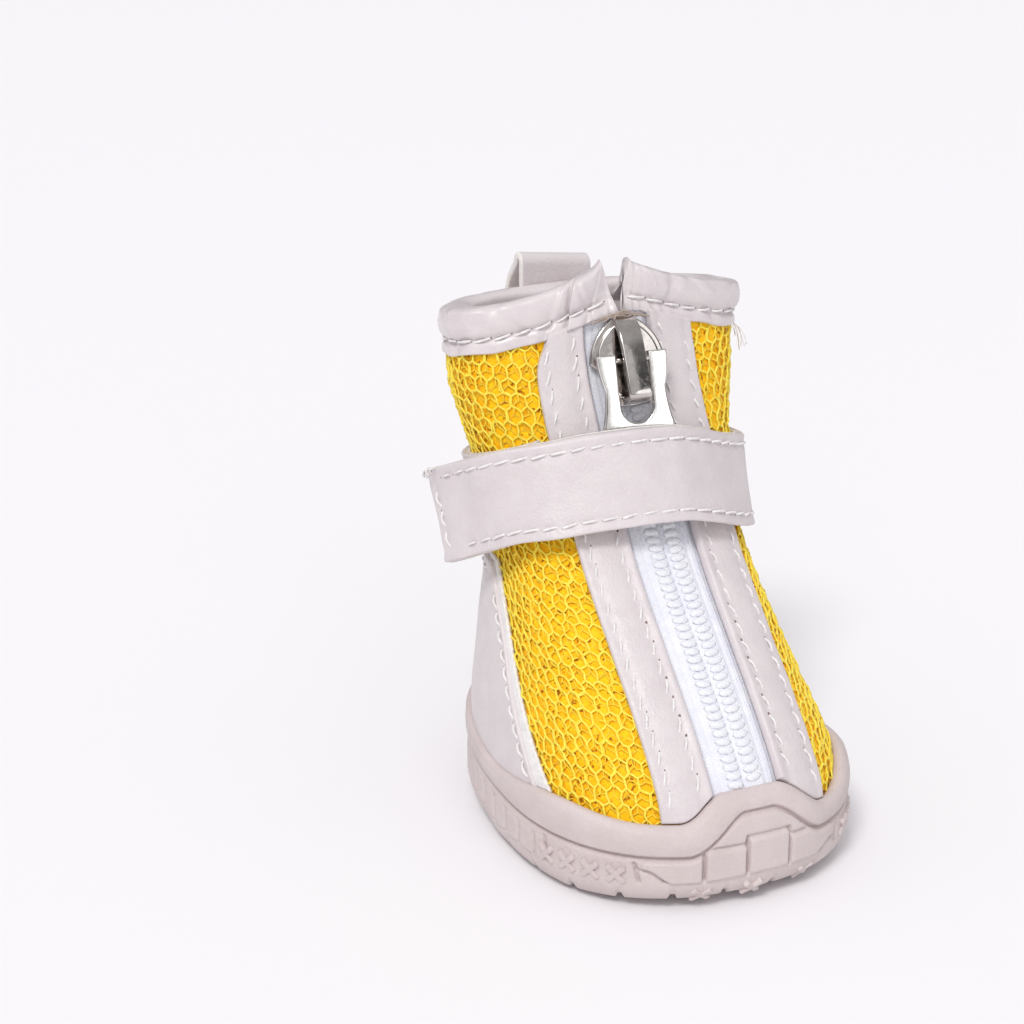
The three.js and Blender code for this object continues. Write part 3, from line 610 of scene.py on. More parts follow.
# The pull's near-white base colour is painted bright reflection.
PULL_NICKEL_PAINTED_BRIGHT_REFLECTION = nickel_finish("nickel_pull", (0.93, 0.91, 0.89, 1), (0.86, 0.84, 0.82, 1),
                            0.14, 0.24)
STOP_YARN = thread_finish("zip_stop_yarn", (0.50, 0.42, 0.36, 1), (0.34, 0.26, 0.21, 1))
# Needle holes: dark brown beads that stand for the shade inside each hole, painted shade.
NEEDLE_HOLE_SHADE = dull_finish("needle_hole", (0.26, 0.17, 0.15, 1), (0.16, 0.10, 0.09, 1),
                     0.8, 5000.0, 0.00005)


# ---- repeated shapes --------------------------------------------------------------------------
def node_tree(name, inputs):
    """A Geometry Nodes tree that takes points and named sizes, with its bench and its ends."""
    tree = bpy.data.node_groups.new(name, "GeometryNodeTree")
    tree.is_modifier = True
    tree.interface.new_socket("Points", in_out="INPUT", socket_type="NodeSocketGeometry")
    for label, kind, value in inputs:
        socket = tree.interface.new_socket(label, in_out="INPUT", socket_type=kind)
        if value is not None:
            socket.default_value = value
    tree.interface.new_socket("Material", in_out="INPUT", socket_type="NodeSocketMaterial")
    tree.interface.new_socket("Mesh", in_out="OUTPUT", socket_type="NodeSocketGeometry")
    bench = Bench(tree)
    return bench, bench.add("NodeGroupInput").outputs, bench.add("NodeGroupOutput").inputs


def set_on_points(b, given, shape):
    """The shape stood on every point, turned by the point's own along and up directions."""
    turn = b.add("FunctionNodeAxesToRotation", {0: b.named("up"), 1: b.named("along")},
                 primary_axis="Z", secondary_axis="X").outputs[0]
    placed = b.add("GeometryNodeInstanceOnPoints", {
        "Points": given["Points"], "Instance": shape, "Rotation": turn,
        "Scale": b.named("size")}).outputs[0]
    return b.add("GeometryNodeRealizeInstances", {0: placed}).outputs[0]


def finish_tree(b, given, out, shape, smooth=True):
    shaded = b.add("GeometryNodeSetShadeSmooth", {"Geometry": shape, "Shade Smooth": smooth})
    plain = b.add("GeometryNodeRealizeInstances", {0: shaded.outputs[0]})
    dressed = b.add("GeometryNodeSetMaterial", {
        "Geometry": plain.outputs[0], "Material": given["Material"]})
    b.tree.links.new(dressed.outputs[0], out["Mesh"])


def stitch_tree():
    """A short arc of thread on every point; size is its length."""
    b, given, out = node_tree("stitches", [
        ("Thread", "NodeSocketFloat", 0.0002), ("Rise", "NodeSocketFloat", 0.3)])
    rise = b.add("ShaderNodeCombineXYZ", {2: given["Rise"]}).outputs[0]
    arc = b.add("GeometryNodeCurveQuadraticBezier", {
        "Resolution": 7, "Start": (-0.5, 0, -0.2), "Middle": rise, "End": (0.5, 0, -0.2)})
    laid = set_on_points(b, given, arc.outputs[0])
    ring = b.add("GeometryNodeCurvePrimitiveCircle", {
        "Resolution": 6, "Radius": given["Thread"]}).outputs[0]
    thread = b.add("GeometryNodeCurveToMesh", {
        "Curve": laid, "Profile Curve": ring, "Fill Caps": True}).outputs[0]
    finish_tree(b, given, out, thread)
    return b.tree


def net_tree():
    """A six-sided knitted cell on every point, stretched by the point's own two directions."""
    b, given, out = node_tree("knit_net", [
        ("Yarn", "NodeSocketFloat", 0.00014), ("Wander", "NodeSocketFloat", 0.0008),
        ("Seed", "NodeSocketFloat", 3.0), ("Sides", "NodeSocketInt", 4)])
    corners = b.add("GeometryNodeCurvePrimitiveCircle", {"Resolution": 6, "Radius": 0.5})
    cell = b.add("GeometryNodeSubdivideCurve", {"Curve": corners.outputs[0], "Cuts": 1})
    placed = b.add("GeometryNodeInstanceOnPoints", {
        "Points": given["Points"], "Instance": cell.outputs[0]}).outputs[0]
    flat = b.add("GeometryNodeRealizeInstances", {0: placed}).outputs[0]
    spot = b.add("GeometryNodeInputPosition").outputs[0]
    centre, tall, wide = (b.named(label) for label in ("centre", "tall", "wide"))
    parts = b.add("ShaderNodeSeparateXYZ", {0: b.vector("SUBTRACT", spot, centre)}).outputs
    upward = b.add("ShaderNodeVectorMath", {0: tall, "Scale": parts[0]}, operation="SCALE")
    sideways = b.add("ShaderNodeVectorMath", {0: wide, "Scale": parts[1]}, operation="SCALE")
    shape = b.vector("ADD", upward.outputs[0], sideways.outputs[0])
    laid = b.add("GeometryNodeSetPosition", {
        "Geometry": flat, "Position": b.vector("ADD", centre, shape)}).outputs[0]
    noise = b.add("ShaderNodeTexNoise", {
        "Vector": spot, "W": given["Seed"], "Scale": 900.0, "Detail": 1.0},
        noise_dimensions="4D").outputs["Color"]
    drift = b.vector("SUBTRACT", noise, (0.5, 0.5, 0.5))
    scaled = b.add("ShaderNodeVectorMath", {0: drift, "Scale": given["Wander"]},
                   operation="SCALE").outputs[0]
    moved = b.add("GeometryNodeSetPosition", {"Geometry": laid, "Offset": scaled}).outputs[0]
    ring = b.add("GeometryNodeCurvePrimitiveCircle", {
        "Resolution": given["Sides"], "Radius": given["Yarn"]}).outputs[0]
    net = b.add("GeometryNodeCurveToMesh", {
        "Curve": moved, "Profile Curve": ring, "Fill Caps": False}).outputs[0]
    finish_tree(b, given, out, net)
    return b.tree


def cross_tree():
    """A moulded X on every point; size gives its bars' length, width and height."""
    b, given, out = node_tree("crosses", [("Bar", "NodeSocketFloat", 0.24)])
    joined = b.add("GeometryNodeJoinGeometry")
    for angle, height in ((45, 1.0), (-45, 0.96)):
        size = b.add("ShaderNodeCombineXYZ", {0: 1.0, 1: given["Bar"], 2: height}).outputs[0]
        bar = b.add("GeometryNodeMeshCube", {"Size": size}).outputs[0]
        turned = b.add("GeometryNodeTransform", {
            "Geometry": bar, "Rotation": (0, 0, math.radians(angle))})
        b.tree.links.new(turned.outputs[0], joined.inputs[0])
    laid = set_on_points(b, given, joined.outputs[0])
    finish_tree(b, given, out, laid, smooth=False)
    return b.tree


def bead_tree():
    """A rounded block on every point; size gives its three sides."""
    b, given, out = node_tree("beads", [("Rounding", "NodeSocketInt", 1)])
    block = b.add("GeometryNodeMeshCube", {"Size": (1.25, 1.25, 1.25)}).outputs[0]
    soft = b.add("GeometryNodeSubdivisionSurface", {
        "Mesh": block, "Level": given["Rounding"]}).outputs[0]
    laid = set_on_points(b, given, soft)
    finish_tree(b, given, out, laid)
    return b.tree


def stood(along, up, size):
    """Marks for points that turn and size what stands on them; size is in mm."""
    return {"along": along, "up": up, "size": np.asarray(size, float) * MM}


def repeated(name, tree, points, marks, material, **values):
    """Runs a tree over marked points (mm) and keeps its result as a plain mesh piece."""
    count = len(points)
    mesh = bpy.data.meshes.new(name)
    mesh.from_pydata(((np.asarray(points) + SHIFT) * MM).tolist(), [], [])
    for label, rows in marks.items():
        layer = mesh.attributes.new(label, "FLOAT_VECTOR", "POINT")
        rows = np.ascontiguousarray(np.broadcast_to(rows, (count, 3)), np.float32)
        layer.data.foreach_set("vector", rows.ravel())
    piece = linked(name, mesh)
    modifier = piece.modifiers.new(name, "NODES")
    modifier.node_group = tree
    wanted = {"Material": material, **values}
    for item in tree.interface.items_tree:
        if item.item_type == "SOCKET" and item.in_out == "INPUT" and item.name in wanted:
            modifier[item.identifier] = wanted[item.name]
    graph = bpy.context.evaluated_depsgraph_get()
    result = bpy.data.meshes.new_from_object(piece.evaluated_get(graph), depsgraph=graph)
    piece.modifiers.clear()
    piece.data = result
    result.name = name
    return piece


STITCHES, NET, CROSSES, BEADS = stitch_tree(), net_tree(), cross_tree(), bead_tree()


# ---- outsole ----------------------------------------------------------------------------------
AROUND = 640                     # points round the sole
BLOCK_EDGES = (-32.0, -14.5, -1.6, 12.0, 31.0)     # degrees from the toe
BLOCK_TOPS = (8.2, 8.9, 9.9, 8.8)
MM_PER_DEGREE = 0.5              # along the wall, near the toe
PAD_PITCH = 7.4                  # of the pads along the edge of the tread
PAD_DROP = 0.75
RIB_PITCH = 3.9                  # of the upright ribs along the sides
PANEL_EDGES = (32.6, 63.0)       # the crossed panels beside the toe blocks, in degrees
WALL_CROSS_PITCH = 3.75
PLATE_LINES = (-16.2, -8.4, 0.0, 8.4, 16.2)


def sole_girth(phi):
    """Distance along the sole's outline from the toe, for every phi."""
    fine = np.linspace(-math.pi, math.pi, 2881)
    x, y = around(SOLE, fine, 0.0)
    run = measured(np.stack([x, y], -1))
    run -= np.interp(0.0, fine, run)
    return np.interp(from_toe(phi), fine, run)


def block_foot(turn):
    """Lower edge of the toe blocks; the outer blocks run up to a point."""
    return 4.1 + 2.2 * ease((-turn - 22) / 9) + 1.6 * ease((turn - 20) / 9)


def wall_relief(phi, z):
    """How far the sole's wall stands in or out: toe blocks, crossed panels, upright ribs."""
    turn = np.degrees(from_toe(phi))
    girth = sole_girth(phi)
    foot = block_foot(turn)
    toe = ease((33.0 - np.abs(turn + 1)) / 1.5)
    relief = -0.5 * toe * bump(z, foot - 0.1, 0.28)
    for k, top in enumerate(BLOCK_TOPS):
        inside = np.minimum(turn - BLOCK_EDGES[k], BLOCK_EDGES[k + 1] - turn) * MM_PER_DEGREE
        rise = ease(inside / 0.5) * ease((top - z) / 0.4) * ease((z - foot) / 0.4)
        relief = relief + 0.32 * rise
        relief = relief - 0.42 * ease((inside + 0.4) / 0.4) * bump(z, top + 0.12, 0.24)
    for edge, top in zip(BLOCK_EDGES[1:-1], (8.7, 9.9, 9.9)):
        line = bump((turn - edge) * MM_PER_DEGREE, 0, 0.27) * ease((top + 0.3 - z) / 0.5)
        relief = relief - 0.8 * line
    for edge in PANEL_EDGES:
        line = bump((np.abs(turn) - edge - 0.5 * (z - 5)) * MM_PER_DEGREE, 0, 0.28)
        relief = relief - 0.7 * line * ease((groove_at(phi) - 0.4 - z) / 0.5)
    rear = ease((np.abs(turn) - 65) / 2)
    slant = 0.35 * np.sin((z - 1.5) * 0.5)
    rib = np.abs((((girth + np.sign(turn) * slant) / RIB_PITCH) % 1.0) - 0.5) * RIB_PITCH
    height = ease((groove_at(phi) - 0.9 - z) / 0.6) * ease((z - 1.5) / 0.8)
    return relief + rear * height * (0.16 - 0.62 * np.exp(-((rib / 0.30) ** 2)))


def plate_relief(x, y):
    """Moulded lines across and along the tread, as depths."""
    depth = np.zeros_like(x)
    for at, bow in ((-12.5, 3.5), (11.5, -3.0)):
        line = at + bow * (x / 20.0) ** 2
        depth = np.maximum(depth, np.exp(-((y - line) / 0.33) ** 2))
    for at in PLATE_LINES:
        curve = at * (1 - 0.16 * bump(y, 6, 9) - 0.5 * ease((np.abs(y + 2) - 17) / 26))
        curve = curve + 0.7 * np.sin(y / 9.0)
        bare = 1 - ease((7.5 - np.abs(x)) / 1.0) * ease((12 - y) / 1.0) * ease((y + 9) / 1.0)
        depth = np.maximum(depth, np.exp(-((x - curve) / 0.30) ** 2) * bare)
    return 0.55 * depth


def make_outsole():
    spread = np.linspace(-math.pi, math.pi, 2881)
    crowd = 1 + 2.2 * bump(np.degrees(spread), -1, 42)
    crowd = np.concatenate([[0.0], np.cumsum((crowd[1:] + crowd[:-1]) / 2)])
    phi = np.interp(np.arange(AROUND) / AROUND * crowd[-1], crowd, spread)
    rings = []

    def tread_ring(share, inset, z, cut=0.0):
        x, y = around(SOLE, phi, -inset)
        x, y = mix(SOLE["lean"], x, share), mix(SOLE["mid"], y, share)
        girth = sole_girth(phi)
        pad = np.abs(((girth / PAD_PITCH + 0.5) % 1.0) - 0.5) * PAD_PITCH
        pad = ease((PAD_PITCH / 2 - 0.25 - pad) / 0.45) * ease((share - 0.80) / 0.03)
        drop = PAD_DROP * pad * (inset / EDGE_TUCK) ** 0.5
        rings.append(np.stack([x, y, z + lift(y) + cut * plate_relief(x, y) - drop], -1))

    for share in np.linspace(0.02, 1.0, 54):
        tread_ring(share, EDGE_TUCK, LUG, 1.0)
    for t in np.linspace(0, 1, 9)[1:]:
        inset = EDGE_TUCK * (1 - math.sin(t * math.pi / 2))
        tread_ring(1.0, inset, LUG + 2.4 * (1 - math.cos(t * math.pi / 2)))
    start = rings[-1][:, 2]

    def wall_ring(z, inset):
        sx, sy = around(SOLE, phi, -inset)
        over = on_last(phi, z, GAP + RAND - inset)
        t = ease((z - 8) / 7)
        rings.append(np.stack([mix(sx, over[:, 0], t), mix(sy, over[:, 1], t), z], -1))

    groove, top = groove_at(phi), rand_top(phi)
    for t in np.linspace(0, 1, 34)[1:]:
        z = mix(start, groove - 0.8, t)
        wall_ring(z, -wall_relief(phi, z))
    for step in np.linspace(-0.8, 0.8, 13)[1:]:
        z = groove + step
        lip = 0.18 * ease(step / 0.8)
        inset = 0.85 * np.exp(-(step / 0.30) ** 2) - lip
        wall_ring(z, inset - wall_relief(phi, z) * ease(-step / 0.8))
    for t in np.linspace(0, 1, 9)[1:]:
        z = mix(groove + 0.8, top - 0.7, t)
        wall_ring(z, -0.18 - 0.16 * math.sin(t * math.pi))
    for t in np.linspace(0, 1, 9)[1:]:
        over = on_last(phi, top, GAP + RAND + 0.18)
        under = on_last(phi, top, GAP - 0.1)
        turn = t * math.pi
        share = (1 - math.cos(turn)) / 2
        ring = mix(over, under, share)
        ring[:, 2] = top - 0.7 + 0.7 * math.sin(turn) - 0.25 * share
        rings.append(ring)
    for t in np.linspace(0, 1, 5)[1:]:
        rings.append(on_last(phi, mix(top - 0.95, FLOOR + 0.6, t), GAP - 0.1))
    for share in (0.96, 0.66, 0.36, 0.06):
        x, y = around(SOLE, phi, -EDGE_TUCK - 0.8)
        x, y = mix(SOLE["lean"], x, share), mix(SOLE["mid"], y, share)
        rings.append(np.stack([x, y, FLOOR + lift(y)], -1))

    ends = [[SOLE["lean"], SOLE["mid"], base + lift(SOLE["mid"])] for base in (LUG, FLOOR)]
    return swept("outsole_rubber", rings, RUBBER, ends=ends)


def make_crosses():
    """The tread's crosses, standing down from the plate, and the small ones on its edge."""
    places, along, up, size = [], [], [], []
    for x in (-19.2, -12.3, -4.2, 4.2, 12.3, 19.2):
        for k in range(-7, 8):
            y = -2.6 + k * 4.35 + (0.0 if abs(x) < 15 else 1.1)
            phi = math.atan2(x, SOLE["mid"] - y)
            edge = np.hypot(*(np.array(around(SOLE, phi, -4.4)) - [SOLE["lean"], SOLE["mid"]]))
            if math.hypot(x, y - SOLE["mid"]) > edge:
                continue
            if abs(x) < 8 and -8 < y < 12:
                continue
            tall = LUG + 0.3
            places.append((x + SOLE["lean"], y, lift(y) + tall / 2))
            along.append((1, 0.12, 0))
            up.append((0, 0, -1))
            size.append((4.9, 4.9, tall))

    def on_wall(turn, inset, z, tip, wide, tall):
        """A cross on the wall at an angle from the toe; tip leans its face downwards."""
        phi = math.radians(turn)
        x, y = around(SOLE, phi, -inset)
        ahead = np.array(around(SOLE, phi + 0.02, -inset)) - np.array([x, y])
        run = unit(np.array([ahead[0], ahead[1], 0.0]))
        places.append((x, y, z))
        along.append(run)
        up.append(unit(np.cross(run, (0, 0, 1)) - np.array([0, 0, tip])))
        size.append((wide, wide, tall))

    for side in (-1, 1):
        first = abs(float(sole_girth(math.radians(side * PANEL_EDGES[0])))) + 3.0
        fine = np.radians(np.linspace(30, 80, 201)) * side
        reach = np.abs(sole_girth(fine))
        for k in range(4):
            turn = math.degrees(np.interp(first + WALL_CROSS_PITCH * k, reach, fine))
            on_wall(turn, 0.0, 5.4 - 0.15 * k, 0.15, 3.4, 0.8)
    for turn, reach in ((-15, 1.2), (0.5, 0.9), (19, 1.25)):
        on_wall(turn, reach, 1.75 + float(lift(-30.0)) * 0.7, 0.8, 3.5, 1.3)
    piece = repeated("tread_crosses", CROSSES, places, stood(along, up, size), RUBBER, Bar=0.24)
    soften(piece, 0.00016, 2)
    return piece


def soften(piece, width, segments):
    bevel = piece.modifiers.new("softened", "BEVEL")
    bevel.width = width
    bevel.segments = segments
    bevel.limit_method = "ANGLE"
    bevel.angle_limit = math.radians(40)


# ---- insole -----------------------------------------------------------------------------------
def make_insole():
    steps = 180
    phi = np.arange(steps) / steps * TURN
    low, high = FLOOR + 0.6, FLOOR + 2.6

    def ring(share, base):
        rim = on_last(phi, base + 1, -(WALL + GAP + 0.1))
        x, y = mix(SOLE["lean"], rim[:, 0], share), mix(SOLE["mid"], rim[:, 1], share)
        dent = 0.35 * bump(np.hypot(x, (y + 4) * 0.7), 0, 9)
        drop = dent if base > low + 0.5 else 0.0
        return np.stack([x, y, base + lift(y) - drop], -1)

    rings = [ring(s, low) for s in (0.05, 0.35, 0.7, 0.94)]
    rings += [ring(mix(0.94, 1.0, math.sin(t)), mix(low, high, (1 - math.cos(t)) / 2))
              for t in np.linspace(0.15, math.pi - 0.15, 8)]
    rings += [ring(s, high) for s in np.linspace(0.93, 0.03, 24)]
    return swept("insole_felt", rings, FELT)


# ---- upper: the knit's ground and the net over it ---------------------------------------------
def slot_phi(z, side):
    return front_phi(side * (ZIP_HALF + GAP + 0.1), z)


def make_ground():
    """Hollow wall of spacer mesh: ground knit outside, lining inside, open at the throat."""
    def course(u, v):
        phi = TURN * u
        z = phi * 0
        for _ in range(3):
            z = mix(FLOOR + GAP, collar_top(phi) - BINDING - GAP, v)
            phi = mix(slot_phi(z, 1), TURN + slot_phi(z, -1), u)
        return phi, z + lift(on_last(phi, z)[..., 1]) * (1 - ease((z - FLOOR) / 14))

    def place(u, v):
        phi, z = course(u, v)
        tuck = 0.5 * (1 - ease(np.minimum(u, 1 - u) / 0.01))
        soft = 0.06 * sway((phi * 20, 9.0, 0.0), (z, 11.0, 1.0))
        return on_last(phi, z, -0.25 - tuck + soft), on_last(phi, z, -WALL + tuck)

    def lay(u, v):
        phi, z = course(u, v)
        return np.stack([phi * 20, z], -1)

    return cut_sheet("mesh_ground_and_lining", place, np.linspace(0, 1, 200),
                     np.linspace(0, 1, 96), [GROUND, LINING], uv=lay, lined=True)


CELL_WIDE, CELL_TALL = 1.88, 2.75   # of the net's six-sided cells
ROW_TURN = math.radians(-38)     # where the rows of cells are told off


def net_shows(phi, z):
    """Where the net is in the open: off the facings, the quarter, the rand and the binding."""
    turned = from_toe(phi)
    x = around(section(z), turned, 0.0)[0] - zip_line(z)
    ahead = np.abs(turned) < math.pi / 2
    off_facing = ~ahead | (np.abs(x) > FACING_OUT - 0.6)
    under = (z < QUARTER_TOP + 0.2) & (np.abs(turned) > quarter_phi(z, 0.4))
    over_rand = z > rand_top(turned) - 0.6
    below_binding = z < collar_top(turned) - BINDING_HEIGHT + 1.0
    return off_facing & ~under & over_rand & below_binding


def net_layer(name, material, shift, grow, seed, **values):
    """Rows of cells at even steps down the boot, each row told off from the zip's line."""
    rng = np.random.default_rng(seed)
    fine = np.linspace(8.0, 73.0, 600)
    path = measured(on_last(ROW_TURN, fine))
    step = 0.75 * CELL_TALL
    levels = np.interp(np.arange(1.0 + shift * step, path[-1], step), path, fine)
    turns = np.radians(np.linspace(-185, 185, 1481))

    def row(z, girth):
        run = measured(on_last(turns, z))
        run -= np.interp(front_phi(0.0, z), turns, run)
        return on_last(np.interp(girth, run, turns), z, grow), np.interp(girth, run, turns)

    spots, talls, wides = [], [], []
    for k in range(1, len(levels) - 1):
        z = levels[k]
        girth = (np.arange(-60, 60) + (k % 2) / 2 + shift) * CELL_WIDE
        girth = girth + rng.normal(0, 0.05, len(girth))
        spot, phi = row(z, girth)
        keep = net_shows(phi, np.full_like(phi, z)) & (np.abs(phi) < math.pi)
        above, below = row(levels[k + 1], girth)[0], row(levels[k - 1], girth)[0]
        ahead = row(z, girth + CELL_WIDE / 2)[0] - row(z, girth - CELL_WIDE / 2)[0]
        spots.append(spot[keep])
        talls.append(((above - below) / 1.5)[keep])
        wides.append((ahead / math.cos(math.pi / 6))[keep])
    spot, tall, wide = (np.concatenate(rows) for rows in (spots, talls, wides))
    tall = tall * rng.uniform(0.95, 1.01, (len(spot), 1))
    wide = wide * rng.uniform(0.93, 1.01, (len(spot), 1))
    marks = {"centre": (spot + SHIFT) * MM, "tall": tall * MM, "wide": wide * MM}
    return repeated(name, NET, spot, marks, material, **values)


def make_net():
    outer = net_layer("mesh_net", YARN, 0.0, 0.08, 11, Yarn=0.00017, Wander=0.0010, Seed=3.0,
                      Sides=4)
    inner = net_layer("mesh_inner_net", INNER_YARN, 0.45, -0.14, 12, Yarn=0.00014,
                      Wander=0.0013, Seed=8.0, Sides=3)
    return outer, inner


# ---- seams ------------------------------------------------------------------------------------
class Seams:
    """Collects every stitch and needle hole of the boot, then sews them in one go; the needle holes
    are dark beads of painted shade.
    """

    def __init__(self):
        self.stitches, self.holes = [], []

    def row(self, path, ups, pitch=2.75, length=2.3, slant=0.16, holes=0.0, start=0.5):
        """Stitches at an even pitch along a line of points; ups are the surface's normals."""
        run = measured(path)
        count = int((run[-1] - start) / pitch)
        at = start + pitch * (np.arange(count) + 0.5)

        rng = np.random.default_rng(count)
        spots, up = read_at(at, run, path), unit(read_at(at, run, ups))
        along = unit(read_at(at + 0.3, run, path) - read_at(at - 0.3, run, path))
        across = np.cross(up, along)
        angle = slant + rng.normal(0, 0.05, count)[:, None]
        lean = along * np.cos(angle) + across * np.sin(angle)
        reach = length * rng.uniform(0.92, 1.05, count)
        self.stitches.append((spots, lean, up, reach))
        if holes:
            self.holes.append((spots + lean * reach[:, None] * 0.52, lean, up,
                               np.full(count, holes)))

    def sew(self):
        spots, along, up, reach = (np.concatenate(p) for p in zip(*self.stitches))
        size = np.stack([reach, np.ones(len(reach)), np.ones(len(reach))], -1)
        thread = repeated("seam_stitches", STITCHES, spots, stood(along, up, size), THREAD,
                          Thread=0.00018, Rise=0.62)
        # The needle holes are small dark beads of painted shade at each stitch's end.
        spots, along, up, wide = (np.concatenate(p) for p in zip(*self.holes))
        size = np.stack([wide * 1.5, wide, wide * 0.45], -1)
        holes = repeated("needle_holes_painted_shade", BEADS, spots, stood(along, up, size), NEEDLE_HOLE_SHADE,
                         Rounding=1)
        return thread, holes


SEAMS = Seams()


def pucker(distance, run, pitch=2.75, depth=0.16):
    """How far cloth is drawn in beside a seam: a soft gutter, deepest where the needle went."""
    needle = 0.5 + 0.5 * np.cos(run / pitch * TURN)
    return depth * np.exp(-(distance / 0.55) ** 2) * (0.55 + 0.45 * needle)


# ---- facings beside the zip -------------------------------------------------------------------
def facing_reach(x):
    """Heights of a facing's lower end on the rand and of its upper end under the binding."""
    low, high = x * 0 + 14.0, x * 0 + 69.0
    for _ in range(5):
        low = rand_top(front_phi(x, low)) - 0.3
        high = collar_top(front_phi(x, high)) - BINDING_HEIGHT + 0.5
    return low, high


def make_facing(name, side):
    wide = FACING_OUT - FACING_IN
    long = 72.0

    def place(u, v):
        x = side * mix(FACING_IN, FACING_OUT, u)
        low, high = facing_reach(x)
        z = mix(low, high, v)
        run = v * long
        from_in, from_out = u * wide, (1 - u) * wide
        rim = rim_drop(u, v, wide, long, 0.42)
        bead = 0.22 * bump(from_in, 0.55, 0.5)
        drawn = pucker(from_in - 1.75, run) + pucker(from_out - 1.4, run + 1.1)
        soft = 0.09 * sway((run, 13.0, side), (run + 5 * u, 7.0, 1.0), (run, 31.0, 2.0))
        grow = GAP + 0.8 + bead + soft - drawn + 0.12 * bump(u, 0.5, 0.3)
        outer = on_front(x, z, mix(grow, GAP + 0.25, rim))
        return outer, on_front(x, z, GAP - 0.15)

    piece = cut_sheet(name, place, rounded_steps(22, 0.45, wide), rounded_steps(320, 0.45, long),
                      COATED)
    for share_from, holes in ((FACING_IN + 1.75, 0.34), (FACING_OUT - 1.4, 0.18)):
        x = side * share_from
        low, high = facing_reach(x)
        z = np.linspace(low + 1.2, high - 0.4, 300)
        path = on_front(x, z, GAP + 0.72)
        SEAMS.row(path, outward(front_phi(x, z), z), slant=0.30 * side, holes=holes)
    return piece


# ---- heel quarter -----------------------------------------------------------------------------
def quarter_place(u, v, forward, top, foot):
    z = mix(RAND_TOP, top, v)
    phi = u * 0
    for _ in range(6):
        edge = quarter_phi(z, forward)
        phi = mix(edge, TURN - edge, u)
        z = mix(rand_top(phi) + foot, top, v)
    return phi, z


def make_quarter():
    wide, long = 96.0, 23.0

    def place(u, v):
        phi, z = quarter_place(u, v, 0.0, QUARTER_TOP, -0.4)
        rim = rim_drop(u, v, wide, long, 0.4)
        side = np.minimum(u, 1 - u) * wide
        top = (1 - v) * long
        run = v * 30
        drawn = pucker(side - 1.5, run, depth=0.14) + pucker(top - 1.5, u * wide, depth=0.12)
        soft = 0.16 * sway((u * wide, 37.0, 0.4), (run + u * 40, 17.0, 1.7))
        grow = GAP + 0.85 + soft - drawn
        return on_last(phi, z, mix(grow, GAP + 0.35, rim)), on_last(phi, z, GAP + 0.25)

    piece = cut_sheet("heel_quarter", place, rounded_steps(300, 0.45, wide),
                      rounded_steps(60, 0.45, long), COATED)

    def backing(u, v):
        phi, z = quarter_place(u, v, 1.2 + 2.3 * (1 - v) ** 3, QUARTER_TOP + 0.6, -0.4)
        fray = 0.12 * np.sin(v * 210) * (1 - ease(np.minimum(u, 1 - u) * wide / 0.8))
        rim = rim_drop(u, v, wide, long, 0.3)
        return (on_last(phi, z, GAP + 0.30 + fray - 0.2 * rim), on_last(phi, z, GAP - 0.2))

    under = cut_sheet("quarter_backing", backing, rounded_steps(80, 0.5, wide),
                      rounded_steps(110, 0.4, long), BACKING)
    v = np.linspace(0.02, 0.93, 160)
    for side in (0, 1):
        share = 1.5 / wide
        phi, z = quarter_place(np.full_like(v, mix(share, 1 - share, side)), v, 0.0,
                               QUARTER_TOP, -0.4)
        SEAMS.row(on_last(phi, z, GAP + 0.76), outward(phi, z), slant=0.12, holes=0.14)
    u = np.linspace(0.03, 0.97, 500)
    phi, z = quarter_place(u, np.full_like(u, 1 - 1.5 / long), 0.0, QUARTER_TOP, -0.4)
    SEAMS.row(on_last(phi, z, GAP + 0.76), outward(phi, z), slant=0.12)
    return piece, under


# ---- zip --------------------------------------------------------------------------------------
def make_zip():
    half = FACING_IN + 0.9
    low, high = ZIP_BOTTOM - 2.4, ZIP_TOP + 1.2

    def place(u, v):
        x = mix(-half, half, u)
        z = mix(low, high, v)
        body = 0.34 * ease((CHAIN_HALF + 0.6 - np.abs(x)) / 0.8)
        ridge = 0.10 * (bump(np.abs(x), 3.75, 0.22) + bump(np.abs(x), 4.45, 0.2))
        proud = 0.36 * ease((FACING_IN - 0.2 - np.abs(x)) / 0.5)
        grow = -0.12 + proud + body + ridge - 0.25 * bump(x, 0, 0.35)
        return on_front(x, z, grow), on_front(x, z, -1.2)

    def lay(u, v):
        return np.stack([mix(-half, half, u), v * 66.0], -1)

    tape = cut_sheet("zip_tape_cloth", place, np.linspace(0, 1, 64), np.linspace(0, 1, 240),
                     ZIP_CLOTH, uv=lay)
    z = np.linspace(low + 1.0, ZIP_TOP - 0.5, 400)
    spots, along, up = [], [], []
    for side in (-1, 1):
        path = on_front(side * 1.42, z, 0.62)
        run = measured(path)
        at = np.arange(0.4 if side < 0 else 1.0, run[-1], 1.2)
        spot = read_at(at, run, path)
        rise = unit(read_at(at + 0.2, run, path) - read_at(at - 0.2, run, path))
        height = np.interp(at, run, z)
        normal = outward(front_phi(side * 1.42, height), height)
        spots.append(spot)
        up.append(normal)
        along.append(unit(np.cross(rise, normal)) + rise * 0.10 * side)
    marks = stood(np.concatenate(along), np.concatenate(up), (2.35, 1.12, 0.56))
    teeth = repeated("zip_teeth", BEADS, np.concatenate(spots), marks, ZIP_YARN, Rounding=1)
    return tape, teeth


# ---- collar binding ---------------------------------------------------------------------------
NOTCH_AT = math.radians(-2)
NOTCH_TOP, NOTCH_FOOT = 2.5, 0.3
SEAM_DROP = BINDING_HEIGHT - 1.7
STOP_Z = 70.3                    # height of the zip's top stop
